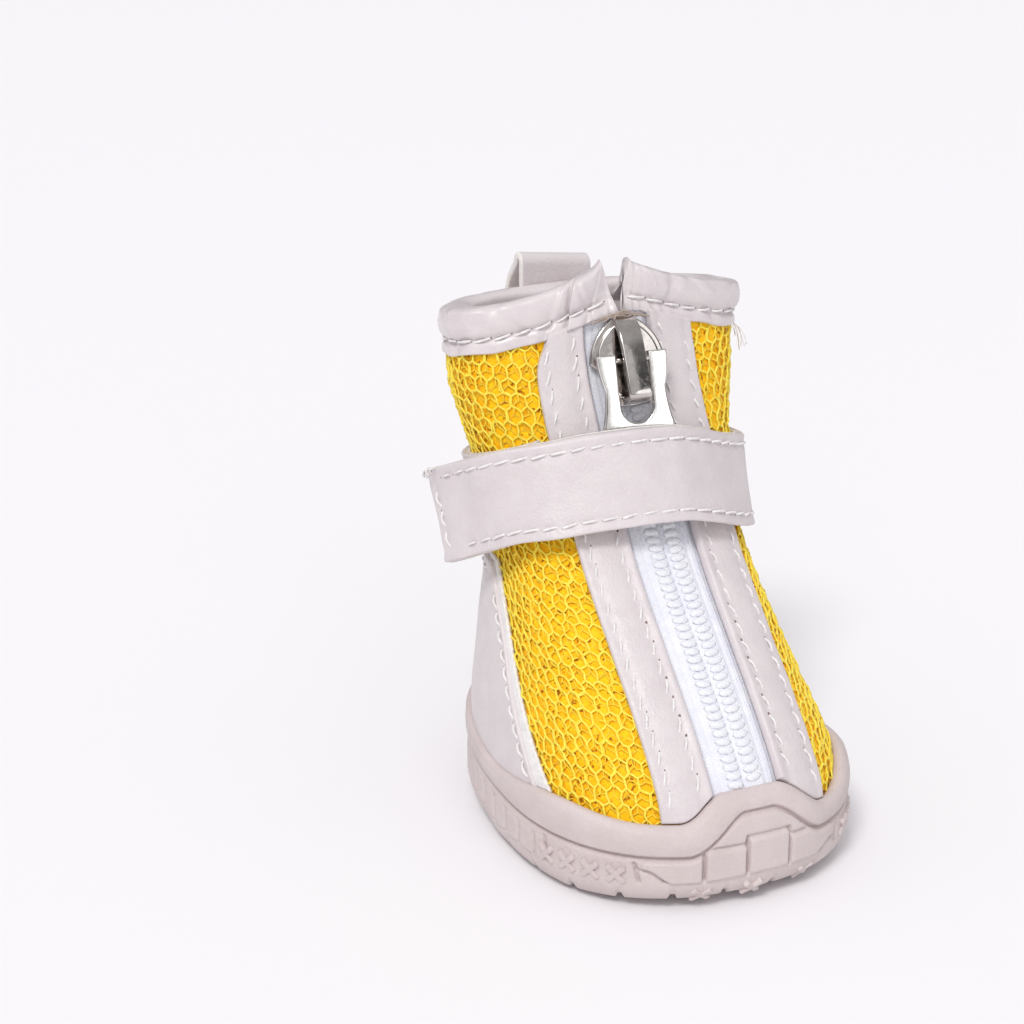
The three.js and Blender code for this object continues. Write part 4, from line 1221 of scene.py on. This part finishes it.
# Each stop thread's left end, the rise of its middle, and its right end, in mm.
STOP_THREADS = ((-4.4, 0.6, 1.0), (-3.8, 1.5, 4.4), (-2.6, 1.1, 3.6), (-1.0, 1.9, 2.6))
OVERLAP_FROM = -37.0             # degrees: where the binding's end is folded over its start


def binding_profile():
    """(grow, drop) round the folded strip: lip, gutter, roll, crest, and back inside."""
    points = []
    for t in np.linspace(0, 1, 7):
        points.append((BINDING_EASE + BINDING * 0.5 * (1 - math.cos(t * math.pi)),
                       BINDING_HEIGHT + 0.28 * math.sin(t * math.pi)))
    for drop in np.linspace(BINDING_HEIGHT - 0.1, 1.3, 34):
        roll = math.sin(math.pi * min(1.0, max(0.0, (SEAM_DROP - 0.2 - drop) / 4.6))) ** 0.8
        gutter = math.exp(-((drop - SEAM_DROP) / 0.5) ** 2)
        points.append((BINDING_EASE + BINDING + 0.70 * roll - 0.34 * gutter, drop))
    outer, inner = points[-1][0], -WALL - BINDING_EASE - BINDING
    centre, reach = (outer + inner) / 2, (outer - inner) / 2
    for t in np.linspace(0, math.pi, 18)[1:-1]:
        points.append((centre + reach * math.cos(t), 1.3 - 1.3 * math.sin(t) ** 0.75))
    for drop in np.linspace(1.3, BINDING_HEIGHT * 0.9, 14):
        points.append((inner - 0.2 * math.sin(math.pi * (drop - 1.3) / 4.6), drop))
    for t in np.linspace(0, 1, 6)[1:]:
        points.append((inner + (BINDING * 0.5) * (1 - math.cos(t * math.pi)),
                       BINDING_HEIGHT * 0.9 + 0.25 * math.sin(t * math.pi)))
    for drop in np.linspace(BINDING_HEIGHT * 0.85, 1.6, 6):
        points.append((inner + BINDING, drop))
    for drop in np.linspace(1.6, BINDING_HEIGHT - 0.3, 6):
        points.append((BINDING_EASE, drop))
    return np.array(points)


# Creases of the binding, one by one: angle from the toe, slant (degrees for each mm of drop),
# width in degrees, and depth in mm.
BINDING_CREASES = (
    (-88, 1.2, 2.2, 0.30), (-76, -2.0, 3.0, 0.26), (-62, 2.4, 2.0, 0.20), (-47, -1.0, 1.6, 0.24),
    (-30, 1.5, 1.6, 0.18), (-22, -1.6, 1.4, 0.22), (-13, 0.8, 1.6, 0.26), (14, -0.8, 1.6, 0.28),
    (24, 1.4, 2.0, 0.20), (38, -1.6, 2.4, 0.22), (56, 1.8, 2.2, 0.20), (72, -1.4, 2.6, 0.26),
    (95, 1.0, 3.0, 0.20), (128, -1.5, 3.5, 0.24), (160, 1.2, 3.0, 0.18), (-120, -1.2, 3.0, 0.22),
    (-150, 1.4, 3.6, 0.18),
)


def make_binding():
    profile = binding_profile()
    grow, drop = profile[:, 0], profile[:, 1]
    share = drop / BINDING_HEIGHT
    steps = 480
    half = mix(NOTCH_TOP, NOTCH_FOOT, np.clip(share, 0, 1))
    open_by = np.arctan2(half, 9)
    s = np.linspace(0, 1, steps)
    s = mix(s, ease(s), 0.25)
    phi = NOTCH_AT + mix(open_by[None, :], (TURN - open_by)[None, :], s[:, None])
    turn = np.degrees(from_toe(phi))
    outside = ease((grow + 1.6) / (BINDING_EASE + 1.9))[None, :]
    fold = np.zeros_like(phi)
    for at, slant, width, depth in BINDING_CREASES:
        fold = fold - depth * bump(turn - slant * (drop[None, :] - 3), at, width) \
            + 0.5 * depth * bump(turn - slant * (drop[None, :] - 3), at + 1.9 * width, width)
    past = turn - OVERLAP_FROM + 0.35 * drop[None, :]
    folded_over = (ease(past / 0.9) - 0.45 * bump(past, -0.9, 0.9)) * (turn < 0)
    wave = 0.12 * sway((turn, 23.0, 0.2), (turn, 11.0, 1.1))
    corner = bump(turn, -13, 7) + bump(turn, 7, 7)
    push = (fold + wave - 0.62) * outside + 1.0 * folded_over * outside
    stitched = pucker(drop[None, :] - SEAM_DROP, turn / 3.0, depth=0.14) * outside
    lower = 0.22 * sway((turn, 41.0, 0.0), (turn, 19.0, 2.0)) * share[None, :]
    peak = 1.3 * corner * (1 - share[None, :])
    z = collar_top(phi) - drop[None, :] + lower + peak
    thin = 0.30 + 0.70 * ease((np.abs(turn - math.degrees(NOTCH_AT)) - 10) / 22)
    thin = mix(thin, 1.0, ease((share[None, :] - 0.55) / 0.4))
    reach = mix(-0.2, grow[None, :] + push - stitched, thin)
    rings = on_last(phi, z, reach)
    piece = swept("collar_binding_roll", rings, GLOSSED)
    seam_phi = NOTCH_AT + np.linspace(0.10, TURN - 0.10, 900)
    z = collar_top(seam_phi) - SEAM_DROP + 0.1
    turn = np.degrees(from_toe(seam_phi))
    over = 0.9 * ease((turn - OVERLAP_FROM + 0.35 * SEAM_DROP) / 1.0) * (turn < 0)
    path = on_last(seam_phi, z, BINDING_EASE + BINDING - 0.86 + over)
    SEAMS.row(path, outward(seam_phi, z), pitch=2.9, length=2.5, slant=0.10, holes=0.18)
    return piece


# ---- strap ------------------------------------------------------------------------------------
# turn from the toe, distance of the lower edge, extra distance of the top edge, and dip.
STRAP_COURSE = np.array([
    (-52, 0.4, 0.0, 3.2), (-100, 0.4, 0.0, 8.0), (-180, 0.4, 0.0, 9.4), (-240, 0.4, 0.0, 9.0),
    (-285, 0.6, 0.0, 7.4), (-312, 1.6, 0.2, 5.0), (-335, 4.2, 0.7, 2.5), (-350, 5.2, 1.2, 1.1),
    (-368, 5.2, 1.2, 0.8), (-390, 4.2, 0.6, 1.5), (-420, 2.6, 0.1, 3.6), (-442, 3.2, 0.0, 6.6),
    (-462, 6.2, 0.0, 9.8),
])


def strap_course(steps):
    """The course in even, smoothed steps."""
    knots = np.arange(len(STRAP_COURSE))
    t = np.linspace(0, len(STRAP_COURSE) - 1, steps)
    course = read_at(t, knots, STRAP_COURSE)
    reach = int(steps / (len(STRAP_COURSE) - 1) * 0.45)
    kernel = np.hanning(2 * reach + 1)
    kernel /= kernel.sum()
    ends = [np.repeat(course[:1], reach, 0) * 2 - course[reach:0:-1],
            np.repeat(course[-1:], reach, 0) * 2 - course[-2:-reach - 2:-1]]
    padded = np.concatenate([ends[0], course, ends[1]])
    return np.stack([np.convolve(padded[:, k], kernel, "valid") for k in range(4)], -1)


def strap_point(row, v, depth):
    turn, grow, flare, dip = (row[..., k] for k in range(4))
    phi = np.radians(turn)
    upright = STRAP_WIDTH * mix(1, STRAP_LEAN, np.clip(np.cos(phi), 0, 1))
    z = STRAP_Z - dip - upright / 2 + upright * v
    return phi, z, grow + flare * v + depth


def make_strap():
    steps = 520
    course = strap_course(steps)
    middle = on_last(*strap_point(course, 0.5, 0.0))
    run = measured(middle)
    even = np.linspace(0, run[-1], steps)
    course = read_at(even, run, course)
    run = even
    lip = 0.4
    vs = rounded_steps(30, lip, STRAP_WIDTH)
    drop = rim_drop(vs, np.full_like(vs, 0.5), STRAP_WIDTH, 100.0, lip)
    from_low, from_top = vs * STRAP_WIDTH, (1 - vs) * STRAP_WIDTH
    rows = []
    for k, row in enumerate(course):
        end = min(run[k], run[-1] - run[k])
        close = np.clip(1 - end / lip, 0, 1)
        close = 1 - math.sqrt(max(0.0, 1 - close * close))
        drawn = pucker(from_low - 1.4, run[k]) + pucker(from_top - 1.4, run[k])
        drawn = drawn + 0.12 * math.exp(-((end - 1.6) / 0.5) ** 2)
        soft = 0.12 * sway((run[k], 29.0, 0.0), (run[k] + from_low, 15.0, 1.0))
        top = STRAP + soft - drawn - 0.5 * np.maximum(drop, close)
        rows.append(np.concatenate([
            on_last(*strap_point(row[None, :], vs, top)),
            on_last(*strap_point(row[None, :], vs[::-1], 0.45))]))
    piece = swept("strap_band", rows, [COATED, CUT_EDGE])
    under_rows = []
    for k, row in enumerate(course):
        fray = 0.10 * math.sin(run[k] * 5.1) * math.sin(run[k] * 1.7)
        vs_under = np.array([-0.004, -0.004, 0.5, 1.004, 1.004, 0.5])
        depth = np.array([0.02, 0.47, 0.47, 0.47, 0.02, 0.02])
        shifted = vs_under + np.sign(vs_under - 0.5) * fray * 0.02
        under_rows.append(on_last(*strap_point(row[None, :], shifted, depth)))
    under = swept("strap_backing", under_rows, CUT_EDGE)
    for v in (1.4 / STRAP_WIDTH, 1 - 1.4 / STRAP_WIDTH):
        phi, z, grow = strap_point(course[5:-8], v, STRAP - 0.10)
        SEAMS.row(on_last(phi, z, grow), outward(phi, z), pitch=2.75, length=2.45, slant=0.10,
                  holes=0.14)
    k = int(np.searchsorted(run, run[-1] - 1.6))
    v = np.linspace(0.13, 0.87, 60)
    phi, z, grow = strap_point(np.repeat(course[k:k + 1], 60, 0), v, STRAP - 0.08)
    SEAMS.row(on_last(phi, z, grow), outward(phi, z), pitch=2.9, length=2.4, slant=0.08,
              holes=0.2, start=0.0)
    return piece, under


def loose_threads(name, lines, material):
    """Round threads along lines of points, each given with its radius."""
    points, faces, first = [], [], 0
    turn = np.linspace(0, TURN, 5, endpoint=False)
    for path, radius in lines:
        ahead = unit(np.gradient(path, axis=0))
        side = unit(np.cross(ahead, np.array([0.3, 0.2, 0.9])))
        top = np.cross(side, ahead)
        rings = (path[:, None, :] + radius * (side[:, None, :] * np.cos(turn)[None, :, None]
                                              + top[:, None, :] * np.sin(turn)[None, :, None]))
        count = len(path)
        points.append(rings.reshape(-1, 3))
        faces += grid_faces(count, 5, close=True, first=first)[:, ::-1].tolist()
        faces.append(list(range(first, first + 5)))
        faces.append(list(range(first + 5 * count - 1, first + 5 * count - 6, -1)))
        first += 5 * count
    return plain_mesh(name, np.concatenate(points), faces, material)


def make_thread_ends():
    """Loose thread at the strap's free corner, and a wisp of cut yarn under the collar."""
    course = strap_course(400)
    rng = np.random.default_rng(5)
    lines = []
    for k in range(7):
        row = course[-1 - 2 * k]
        phi, z, grow = strap_point(row, 0.97, STRAP * 0.6)
        a = on_last(phi, z, grow)
        b = a + np.array([-1.3 - 0.2 * k, rng.normal(0, 0.6), 1.2 + rng.normal(0, 0.4)])
        c = a + np.array([-0.8 * rng.uniform(0.5, 1.8), rng.normal(0, 0.5),
                          -0.6 - 0.5 * rng.random()])
        lines.append((quadratic(a, b, c, 14), 0.11))
    for k in range(9):
        phi = math.radians(rng.uniform(74, 92))
        a = on_last(phi, float(collar_top(phi)) - BINDING_HEIGHT - 0.2, 0.8)
        b = a + np.array([1.3, rng.normal(0, 0.7), -0.6])
        c = a + np.array([rng.uniform(1.2, 2.4), rng.normal(0, 1.0), -rng.uniform(2.0, 4.5)])
        lines.append((quadratic(a, b, c, 12), 0.06))
    return loose_threads("thread_ends", lines, THREAD)


def make_stop_threads():
    """The threads that stop the zip at its top, laid across under the collar's notch."""
    lines = []
    for start, middle, end in STOP_THREADS:
        a, b, c = (on_front(x, STOP_Z + rise, 2.3)
                   for x, rise in ((start, -0.5), (0.0, middle), (end, -0.1 * end)))
        lines.append((quadratic(a, b, c, 14), 0.13))
    return loose_threads("zip_stop_threads", lines, STOP_YARN)


# ---- pull loop --------------------------------------------------------------------------------
LOOP_FOOT, LOOP_TOP, LOOP_DEPTH, LOOP_BELLY, LOOP_FOLD = 55.0, 74.3, 7.0, 64.0, 1.5
LOOP_WIDTH, LOOP_STRIP, LOOP_SET = 11.2, 1.1, 2.5
LOOP_SAG = 0.11                  # how much the loop droops towards one side


def quadratic(a, b, c, count):
    t = np.linspace(0, 1, count)[:, None]
    a, b, c = (np.array(p, float) for p in (a, b, c))
    return (1 - t) ** 2 * a + 2 * t * (1 - t) * b + t * t * c


def make_loop():
    half = LOOP_STRIP / 2
    fold = LOOP_TOP - LOOP_FOLD
    turn = np.linspace(math.pi, 0, 24)
    arc = np.stack([LOOP_FOLD + (LOOP_FOLD - half) * np.cos(turn),
                    fold + (LOOP_FOLD - half) * np.sin(turn)], -1)
    path = np.concatenate([
        quadratic((half - LOOP_SET, LOOP_FOOT), (half - 0.6, LOOP_FOOT + 5), (half, 63), 20),
        np.stack([np.full(16, half), np.linspace(63.4, fold - 0.3, 16)], -1), arc,
        quadratic((2 * LOOP_FOLD - half, fold - 0.3), (LOOP_DEPTH - half, LOOP_BELLY + 5),
                  (LOOP_DEPTH - half, LOOP_BELLY), 30)[1:],
        quadratic((LOOP_DEPTH - half, LOOP_BELLY), (LOOP_DEPTH - half, 58.9),
                  (2.0, 57.4), 24)[1:],
        quadratic((2.0, 57.4), (LOOP_STRIP + 0.4 - LOOP_SET + half, 56.6),
                  (LOOP_STRIP - LOOP_SET + half, LOOP_FOOT), 12)[1:]])
    run = measured(path)
    even = np.linspace(0, run[-1], 200)
    path = read_at(even, run, path)
    ahead = unit(np.gradient(path, axis=0))
    normal = np.stack([-ahead[:, 1], ahead[:, 0]], -1)
    across = rounded_steps(18, 0.35, LOOP_WIDTH)
    drop = rim_drop(across, np.full_like(across, 0.5), LOOP_WIDTH, 50.0, 0.35)
    lean = float(section(67)["lean"])
    back = float(section(LOOP_BELLY)["back"]) + BINDING + GAP * 3
    rings = []
    for k, (y, z) in enumerate(path):
        soft = 0.10 * math.sin(even[k] / 5.0) + 0.06 * math.sin(even[k] / 2.3)
        x = (across - 0.5) * LOOP_WIDTH
        outer = half + soft * (1 - (2 * across - 1) ** 2) * 0.6 - 0.4 * drop
        a = np.stack([x, y + normal[k, 0] * outer, z + normal[k, 1] * outer], -1)
        inner = np.full_like(x, -half) + 0.3 * drop
        b = np.stack([x, y + normal[k, 0] * inner, z + normal[k, 1] * inner], -1)[::-1]
        rings.append(np.concatenate([a, b]))
    rings = np.array(rings) + np.array([lean, back, 0.0])
    rings[..., 2] -= LOOP_SAG * (rings[..., 0] - lean) * ease((rings[..., 2] - 60) / 10)
    piece = swept("pull_loop_strip", rings, [COATED, CUT_EDGE])
    for height in (LOOP_FOOT + 1.0, LOOP_FOOT + 2.1):
        k = int(np.argmin(np.abs(rings[-40:, 0, 2] - height))) - 40
        path = rings[k][2:len(across) - 2]
        SEAMS.row(path + (0, 0.1, 0), np.tile((0.0, 1.0, 0.0), (len(path), 1)), pitch=2.5,
                  length=2.1, slant=0.05, start=0.3)
    count = len(across)
    mesh = piece.data
    columns = 2 * count
    edge = np.zeros(len(mesh.polygons), np.int32)
    index = np.arange((len(rings) - 1) * columns)
    column = index % columns
    hem = 4
    is_edge = (column < hem) | ((column >= count - 1 - hem) & (column < count + hem)) \
        | (column >= columns - hem - 1)
    edge[:len(index)] = is_edge
    mesh.polygons.foreach_set("material_index", edge)
    return piece


# ---- slider and pull --------------------------------------------------------------------------
SLIDER_Z, SLIDER_HALF, SLIDER_PLATE, SLIDER_OUT = 64.2, 5.4, 1.3, 1.4
SLIDER_ASIDE = 0.4
SLIDER_NUDGE, SLIDER_TWIST = 0.5, math.radians(-8)   # its loose seat on the chain
PULL_THICK, PULL_LENGTH, PULL_HALF, PULL_DROOP = 1.2, 16.0, 5.0, math.radians(1.2)
BAR_Y = 0.0
BAR_OUT = SLIDER_OUT + SLIDER_PLATE + 1.3


def slope_frame():
    """The slider's own frame: X across, Y up the slope, Z straight out; in mm."""
    rise = float(section(SLIDER_Z + 6)["front"] - section(SLIDER_Z - 6)["front"])
    spot = Vector((float(zip_line(SLIDER_Z)) + SLIDER_ASIDE,
                   float(section(SLIDER_Z)["front"]), SLIDER_Z))
    return (Matrix.Translation(spot + Vector(SHIFT) + Vector((SLIDER_NUDGE, 0, 0)))
            @ Matrix.Rotation(math.pi / 2 - math.atan2(rise, 12), 4, "X")
            @ Matrix.Rotation(SLIDER_TWIST, 4, "Y"))


SLOPE = slope_frame()
HANG = SLOPE @ Matrix.Translation((0, BAR_Y, BAR_OUT)) @ Matrix.Rotation(PULL_DROOP, 4, "X")


def stamped(name, loops, low, high, bevel, place, material=None):
    """A plate stamped from flat outlines (mm), rounded at its edges, set down by place."""
    curve = bpy.data.curves.new(name, "CURVE")
    curve.dimensions = "2D"
    curve.fill_mode = "BOTH"
    for loop in loops:
        spline = curve.splines.new("POLY")
        spline.points.add(len(loop) - 1)
        spline.points.foreach_set(
            "co", np.concatenate([loop, np.zeros((len(loop), 1)), np.ones((len(loop), 1))],
                                 1).ravel())
        spline.use_cyclic_u = True
    curve.extrude = (high - low) / 2 - bevel
    curve.bevel_depth = bevel
    curve.bevel_resolution = 3
    curve.offset = -bevel
    flat = linked(name, curve)
    graph = bpy.context.evaluated_depsgraph_get()
    mesh = bpy.data.meshes.new_from_object(flat.evaluated_get(graph), depsgraph=graph)
    bpy.data.objects.remove(flat)
    mesh.transform(Matrix.Scale(MM, 4) @ place @ Matrix.Translation((0, 0, (low + high) / 2)))
    return weld(name, mesh, material or NICKEL_PAINTED_DARK_REFLECTION)


def weld(name, mesh, material, sharp=35):
    """Merges a mesh's doubles, turns its faces out and shades it smooth up to an angle."""
    face_out(mesh, merge=2e-6)
    mesh.name = name
    mesh.materials.clear()
    mesh.materials.append(material)
    smoothed(mesh, sharp)
    return linked(name, mesh)


def mirrored(points):
    """A closed outline from its right half, given from bottom to top."""
    right = np.array(points)
    left = right[::-1] * np.array([-1.0, 1.0])
    keep = np.abs(left[:, 0]) > 1e-6
    return np.concatenate([right, left[keep]])


def slider_outline(inset=0.0):
    h = SLIDER_HALF
    right = np.concatenate([
        np.array([(2.6, -6.4)]), quadratic((3.2, -2.4), (4.0, -1.2), (h, -0.2), 10),
        quadratic((h, -0.2), (4.9, 4.6), (0.0, 6.6), 26)[1:]])
    loop = mirrored(right)
    return loop * (1 - inset / 5.0) + np.array([0.0, 0.2 * inset])


def strip_along(name, path, normals, half_wide, thick, place, edge=0.2):
    """A rounded strip bent along a path of (y, z) points, across X; in the frame's mm."""
    corner = np.linspace(0, math.pi / 2, 5)
    box = []
    for cx, cz, start in ((1, 1, 0), (-1, 1, 1), (-1, -1, 2), (1, -1, 3)):
        for a in corner + start * math.pi / 2:
            box.append((cx * (half_wide - edge) + edge * math.cos(a),
                        cz * (thick / 2 - edge) + edge * math.sin(a)))
    box = np.array(box)
    rings = [np.stack([box[:, 0], y + n[0] * box[:, 1], z + n[1] * box[:, 1]], -1)
             for (y, z), n in zip(path, normals)]
    piece = swept(name, np.array(rings) - SHIFT, NICKEL_PAINTED_DARK_REFLECTION, sharp=40)
    piece.data.transform(Matrix.Scale(MM, 4) @ place @ Matrix.Scale(1 / MM, 4))
    return piece


def make_slider():
    low = SLIDER_OUT
    base = stamped("slider_plate", [slider_outline()], low, low + 0.9, 0.25, SLOPE)
    crown = stamped("slider_crown", [slider_outline(0.75)], low + 0.6, low + SLIDER_PLATE + 0.15,
                    0.32, SLOPE)
    strip = 0.9
    top = BAR_OUT + 1.5 + strip / 2
    foot = low + SLIDER_PLATE - 0.5
    path = np.concatenate([
        quadratic((-5.7, foot), (-5.8, top + 0.3), (-4.6, top + 0.3), 16),
        quadratic((-4.6, top + 0.3), (-1.0, top - 0.15), (1.7, top - 0.75), 20)[1:],
        quadratic((1.7, top - 0.75), (4.9, top - 1.5), (5.6, foot), 24)[1:]])
    ahead = unit(np.gradient(path, axis=0))
    normals = np.stack([-ahead[:, 1], ahead[:, 0]], -1)
    bridge = strip_along("slider_bridge", path, normals, 1.6, strip, SLOPE, 0.22)
    return base, crown, bridge


def pull_outline(inset=0.0):
    h, length = PULL_HALF - inset, PULL_LENGTH - inset
    right = np.concatenate([
        quadratic((0.0, -length), (h * 0.55, -length), (2.6, -length), 4),
        quadratic((2.6, -length), (h, -length), (h, -length + 2.5), 12)[1:],
        quadratic((h, -9.0), (4.4 - inset, -7.0), (4.3 - inset, -4.0), 14),
        quadratic((4.3 - inset, -4.0), (h, -2.0), (h, 0.9 - inset), 14)[1:]])
    return right


def make_pull():
    slot = 2.35
    turn = np.linspace(0, math.pi, 24)
    inner = np.stack([slot * np.cos(turn), -6.2 - 0.2 - slot * np.sin(turn)], -1)
    right = pull_outline()
    notch_right = np.array([(slot, 0.9), (slot, -2.0), (slot, -4.4)])
    loop = np.concatenate([
        right, notch_right, inner, notch_right[::-1] * np.array([-1.0, 1.0]),
        (right[::-1] * np.array([-1.0, 1.0]))[:-1]])
    legs = stamped("pull_plate", [loop], -PULL_THICK / 2, PULL_THICK / 2, 0.22, HANG,
                   PULL_NICKEL_PAINTED_BRIGHT_REFLECTION)
    steps = np.linspace(-3.2, 3.2, 9)
    circle = np.linspace(0, TURN, 16, endpoint=False)
    rings = [np.stack([np.full(16, x), 0.5 * np.cos(circle), 0.5 * np.sin(circle)], -1)
             for x in steps]
    bar = swept("pull_bar", np.array(rings) - SHIFT, NICKEL_PAINTED_DARK_REFLECTION)
    bar.data.transform(Matrix.Scale(MM, 4) @ HANG @ Matrix.Scale(1 / MM, 4))
    return legs, bar


# ---- putting the boot together ----------------------------------------------------------------
def fit(piece, body, finish_slot, *nodes):
    """Hands a finished piece to its body and hides the CAD nodes that it stands for; finish_slot is
    not used.
    """
    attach(piece, body)
    if nodes:
        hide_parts(*nodes)


fit(make_outsole(), "boot", "sole_rubber", "outsole")
fit(make_crosses(), "boot", "sole_rubber")
fit(make_insole(), "boot", "insole_felt", "insole")
fit(make_ground(), "boot", "air_mesh", "upper")
net, inner_net = make_net()
fit(net, "boot", "air_mesh")
fit(inner_net, "boot", "air_mesh")
fit(make_facing("facing_left_strip", -1), "boot", "coated_fabric", "facing_left")
fit(make_facing("facing_right_strip", 1), "boot", "coated_fabric", "facing_right")
quarter, quarter_backing = make_quarter()
fit(quarter, "boot", "coated_fabric", "quarter")
fit(quarter_backing, "boot", "coated_fabric")
zip_cloth, zip_teeth = make_zip()
fit(zip_cloth, "boot", "zip_nylon", "zip_tape")
fit(zip_teeth, "boot", "zip_nylon")
fit(make_binding(), "boot", "coated_fabric", "collar_binding")
strap_band, strap_backing = make_strap()
fit(strap_band, "boot", "coated_fabric", "strap")
fit(strap_backing, "boot", "coated_fabric")
fit(make_thread_ends(), "boot", "coated_fabric")
fit(make_stop_threads(), "boot", "zip_nylon")
fit(make_loop(), "boot", "coated_fabric", "pull_loop")
slider_plate, slider_crown, slider_bridge = make_slider()
fit(slider_plate, "boot", "zip_metal", "zip_slider")
fit(slider_crown, "boot", "zip_metal")
fit(slider_bridge, "boot", "zip_metal")
pull_plate, pull_bar = make_pull()
fit(pull_plate, "pull", "zip_metal", "zip_pull")
fit(pull_bar, "pull", "zip_metal")
stitches, needle_holes_painted_shade = SEAMS.sew()
fit(stitches, "boot", "coated_fabric")
fit(needle_holes_painted_shade, "boot", "coated_fabric")


# ---- stage, light and camera ------------------------------------------------------------------
def make_floor():
    """A wide pale floor."""
    material = bpy.data.materials.new("pale_floor")
    material.use_nodes = True
    surface = material.node_tree.nodes["Principled BSDF"]
    surface.inputs["Base Color"].default_value = (0.88, 0.868, 0.885, 1)
    surface.inputs["Roughness"].default_value = 0.75
    surface.inputs["Specular IOR Level"].default_value = 0.2
    mesh = bpy.data.meshes.new("floor")
    reach = 6.0
    mesh.from_pydata([(-reach, -reach, 0), (reach, -reach, 0), (reach, reach, 0),
                      (-reach, reach, 0)], [], [(0, 1, 2, 3)])
    mesh.materials.append(material)
    linked("floor", mesh)


def add_sun(name, aim, power, spread):
    light = bpy.data.lights.new(name, "SUN")
    light.energy = power
    light.angle = math.radians(spread)
    lamp = linked(name, light)
    lamp.rotation_euler = Vector(aim).to_track_quat("-Z", "Y").to_euler()


def light_room():
    """An even pale room; shiny things also see its soft boxes and its darker walls."""
    world = bpy.data.worlds.new("room")
    world.use_nodes = True
    b = Bench(world.node_tree)
    b.tree.nodes.clear()
    way = b.add("ShaderNodeTexCoord").outputs["Generated"]
    rise = b.add("ShaderNodeSeparateXYZ", {0: way}).outputs[2]
    shine = b.span(rise, 0.45, 0.85, 0.05, 0.60)
    for spot, wide, power in (((0.30, -0.92, 0.20), 17.0, 1.9), ((-0.50, -0.45, 0.74), 24.0, 1.6),
                              ((0.75, -0.35, 0.55), 15.0, 0.8), ((-0.9, 0.1, 0.35), 14.0, 0.5)):
        near = b.add("ShaderNodeVectorMath", {0: way, 1: Vector(spot).normalized()},
                     operation="DOT_PRODUCT").outputs["Value"]
        box = b.span(near, math.cos(math.radians(wide)), math.cos(math.radians(wide - 4)))
        shine = b.math("ADD", shine, b.math("MULTIPLY", box, power))
    rays = b.add("ShaderNodeLightPath").outputs
    level = b.span(rise, -0.05, 0.70, 0.36, 0.78)
    even = b.add("ShaderNodeBackground", {"Color": (0.99, 0.98, 1.0, 1), "Strength": level})
    boxes = b.add("ShaderNodeBackground", {"Strength": shine})
    both = b.add("ShaderNodeMixShader", {
        0: rays["Is Glossy Ray"], 1: even.outputs[0], 2: boxes.outputs[0]})
    backdrop = b.add("ShaderNodeBackground", {"Color": (0.895, 0.88, 0.90, 1)})
    seen = b.add("ShaderNodeMixShader", {
        0: rays["Is Camera Ray"], 1: both.outputs[0], 2: backdrop.outputs[0]})
    out = b.add("ShaderNodeOutputWorld")
    b.tree.links.new(seen.outputs[0], out.inputs[0])
    bpy.context.scene.world = world


make_floor()
add_sun("key", (0.42, 0.42, -0.80), 1.36, 16)
add_sun("fill", (0.30, 0.85, -0.42), 0.34, 55)
light_room()
bpy.context.scene.view_settings.view_transform = "Standard"

CAMERA_TURN, CAMERA_RISE = math.radians(-24.0), math.radians(20.0)
back = Vector((math.sin(CAMERA_TURN) * math.cos(CAMERA_RISE),
               -math.cos(CAMERA_TURN) * math.cos(CAMERA_RISE), math.sin(CAMERA_RISE)))
right = (-back).cross(Vector((0, 0, 1))).normalized()
up = right.cross(-back)
lens = bpy.data.cameras.new("camera")
lens.sensor_width = 36.0
lens.lens = 84.4
lens.clip_start, lens.clip_end = 0.01, 20.0
camera = linked("camera", lens)
target = Vector((SHIFT[0], SHIFT[1], 40.0))
camera.location = (target + back * 333.0 - right * 19.6 + up * 4.6) * MM
camera.rotation_euler = (-back).to_track_quat("-Z", "Y").to_euler()
bpy.context.scene.camera = camera
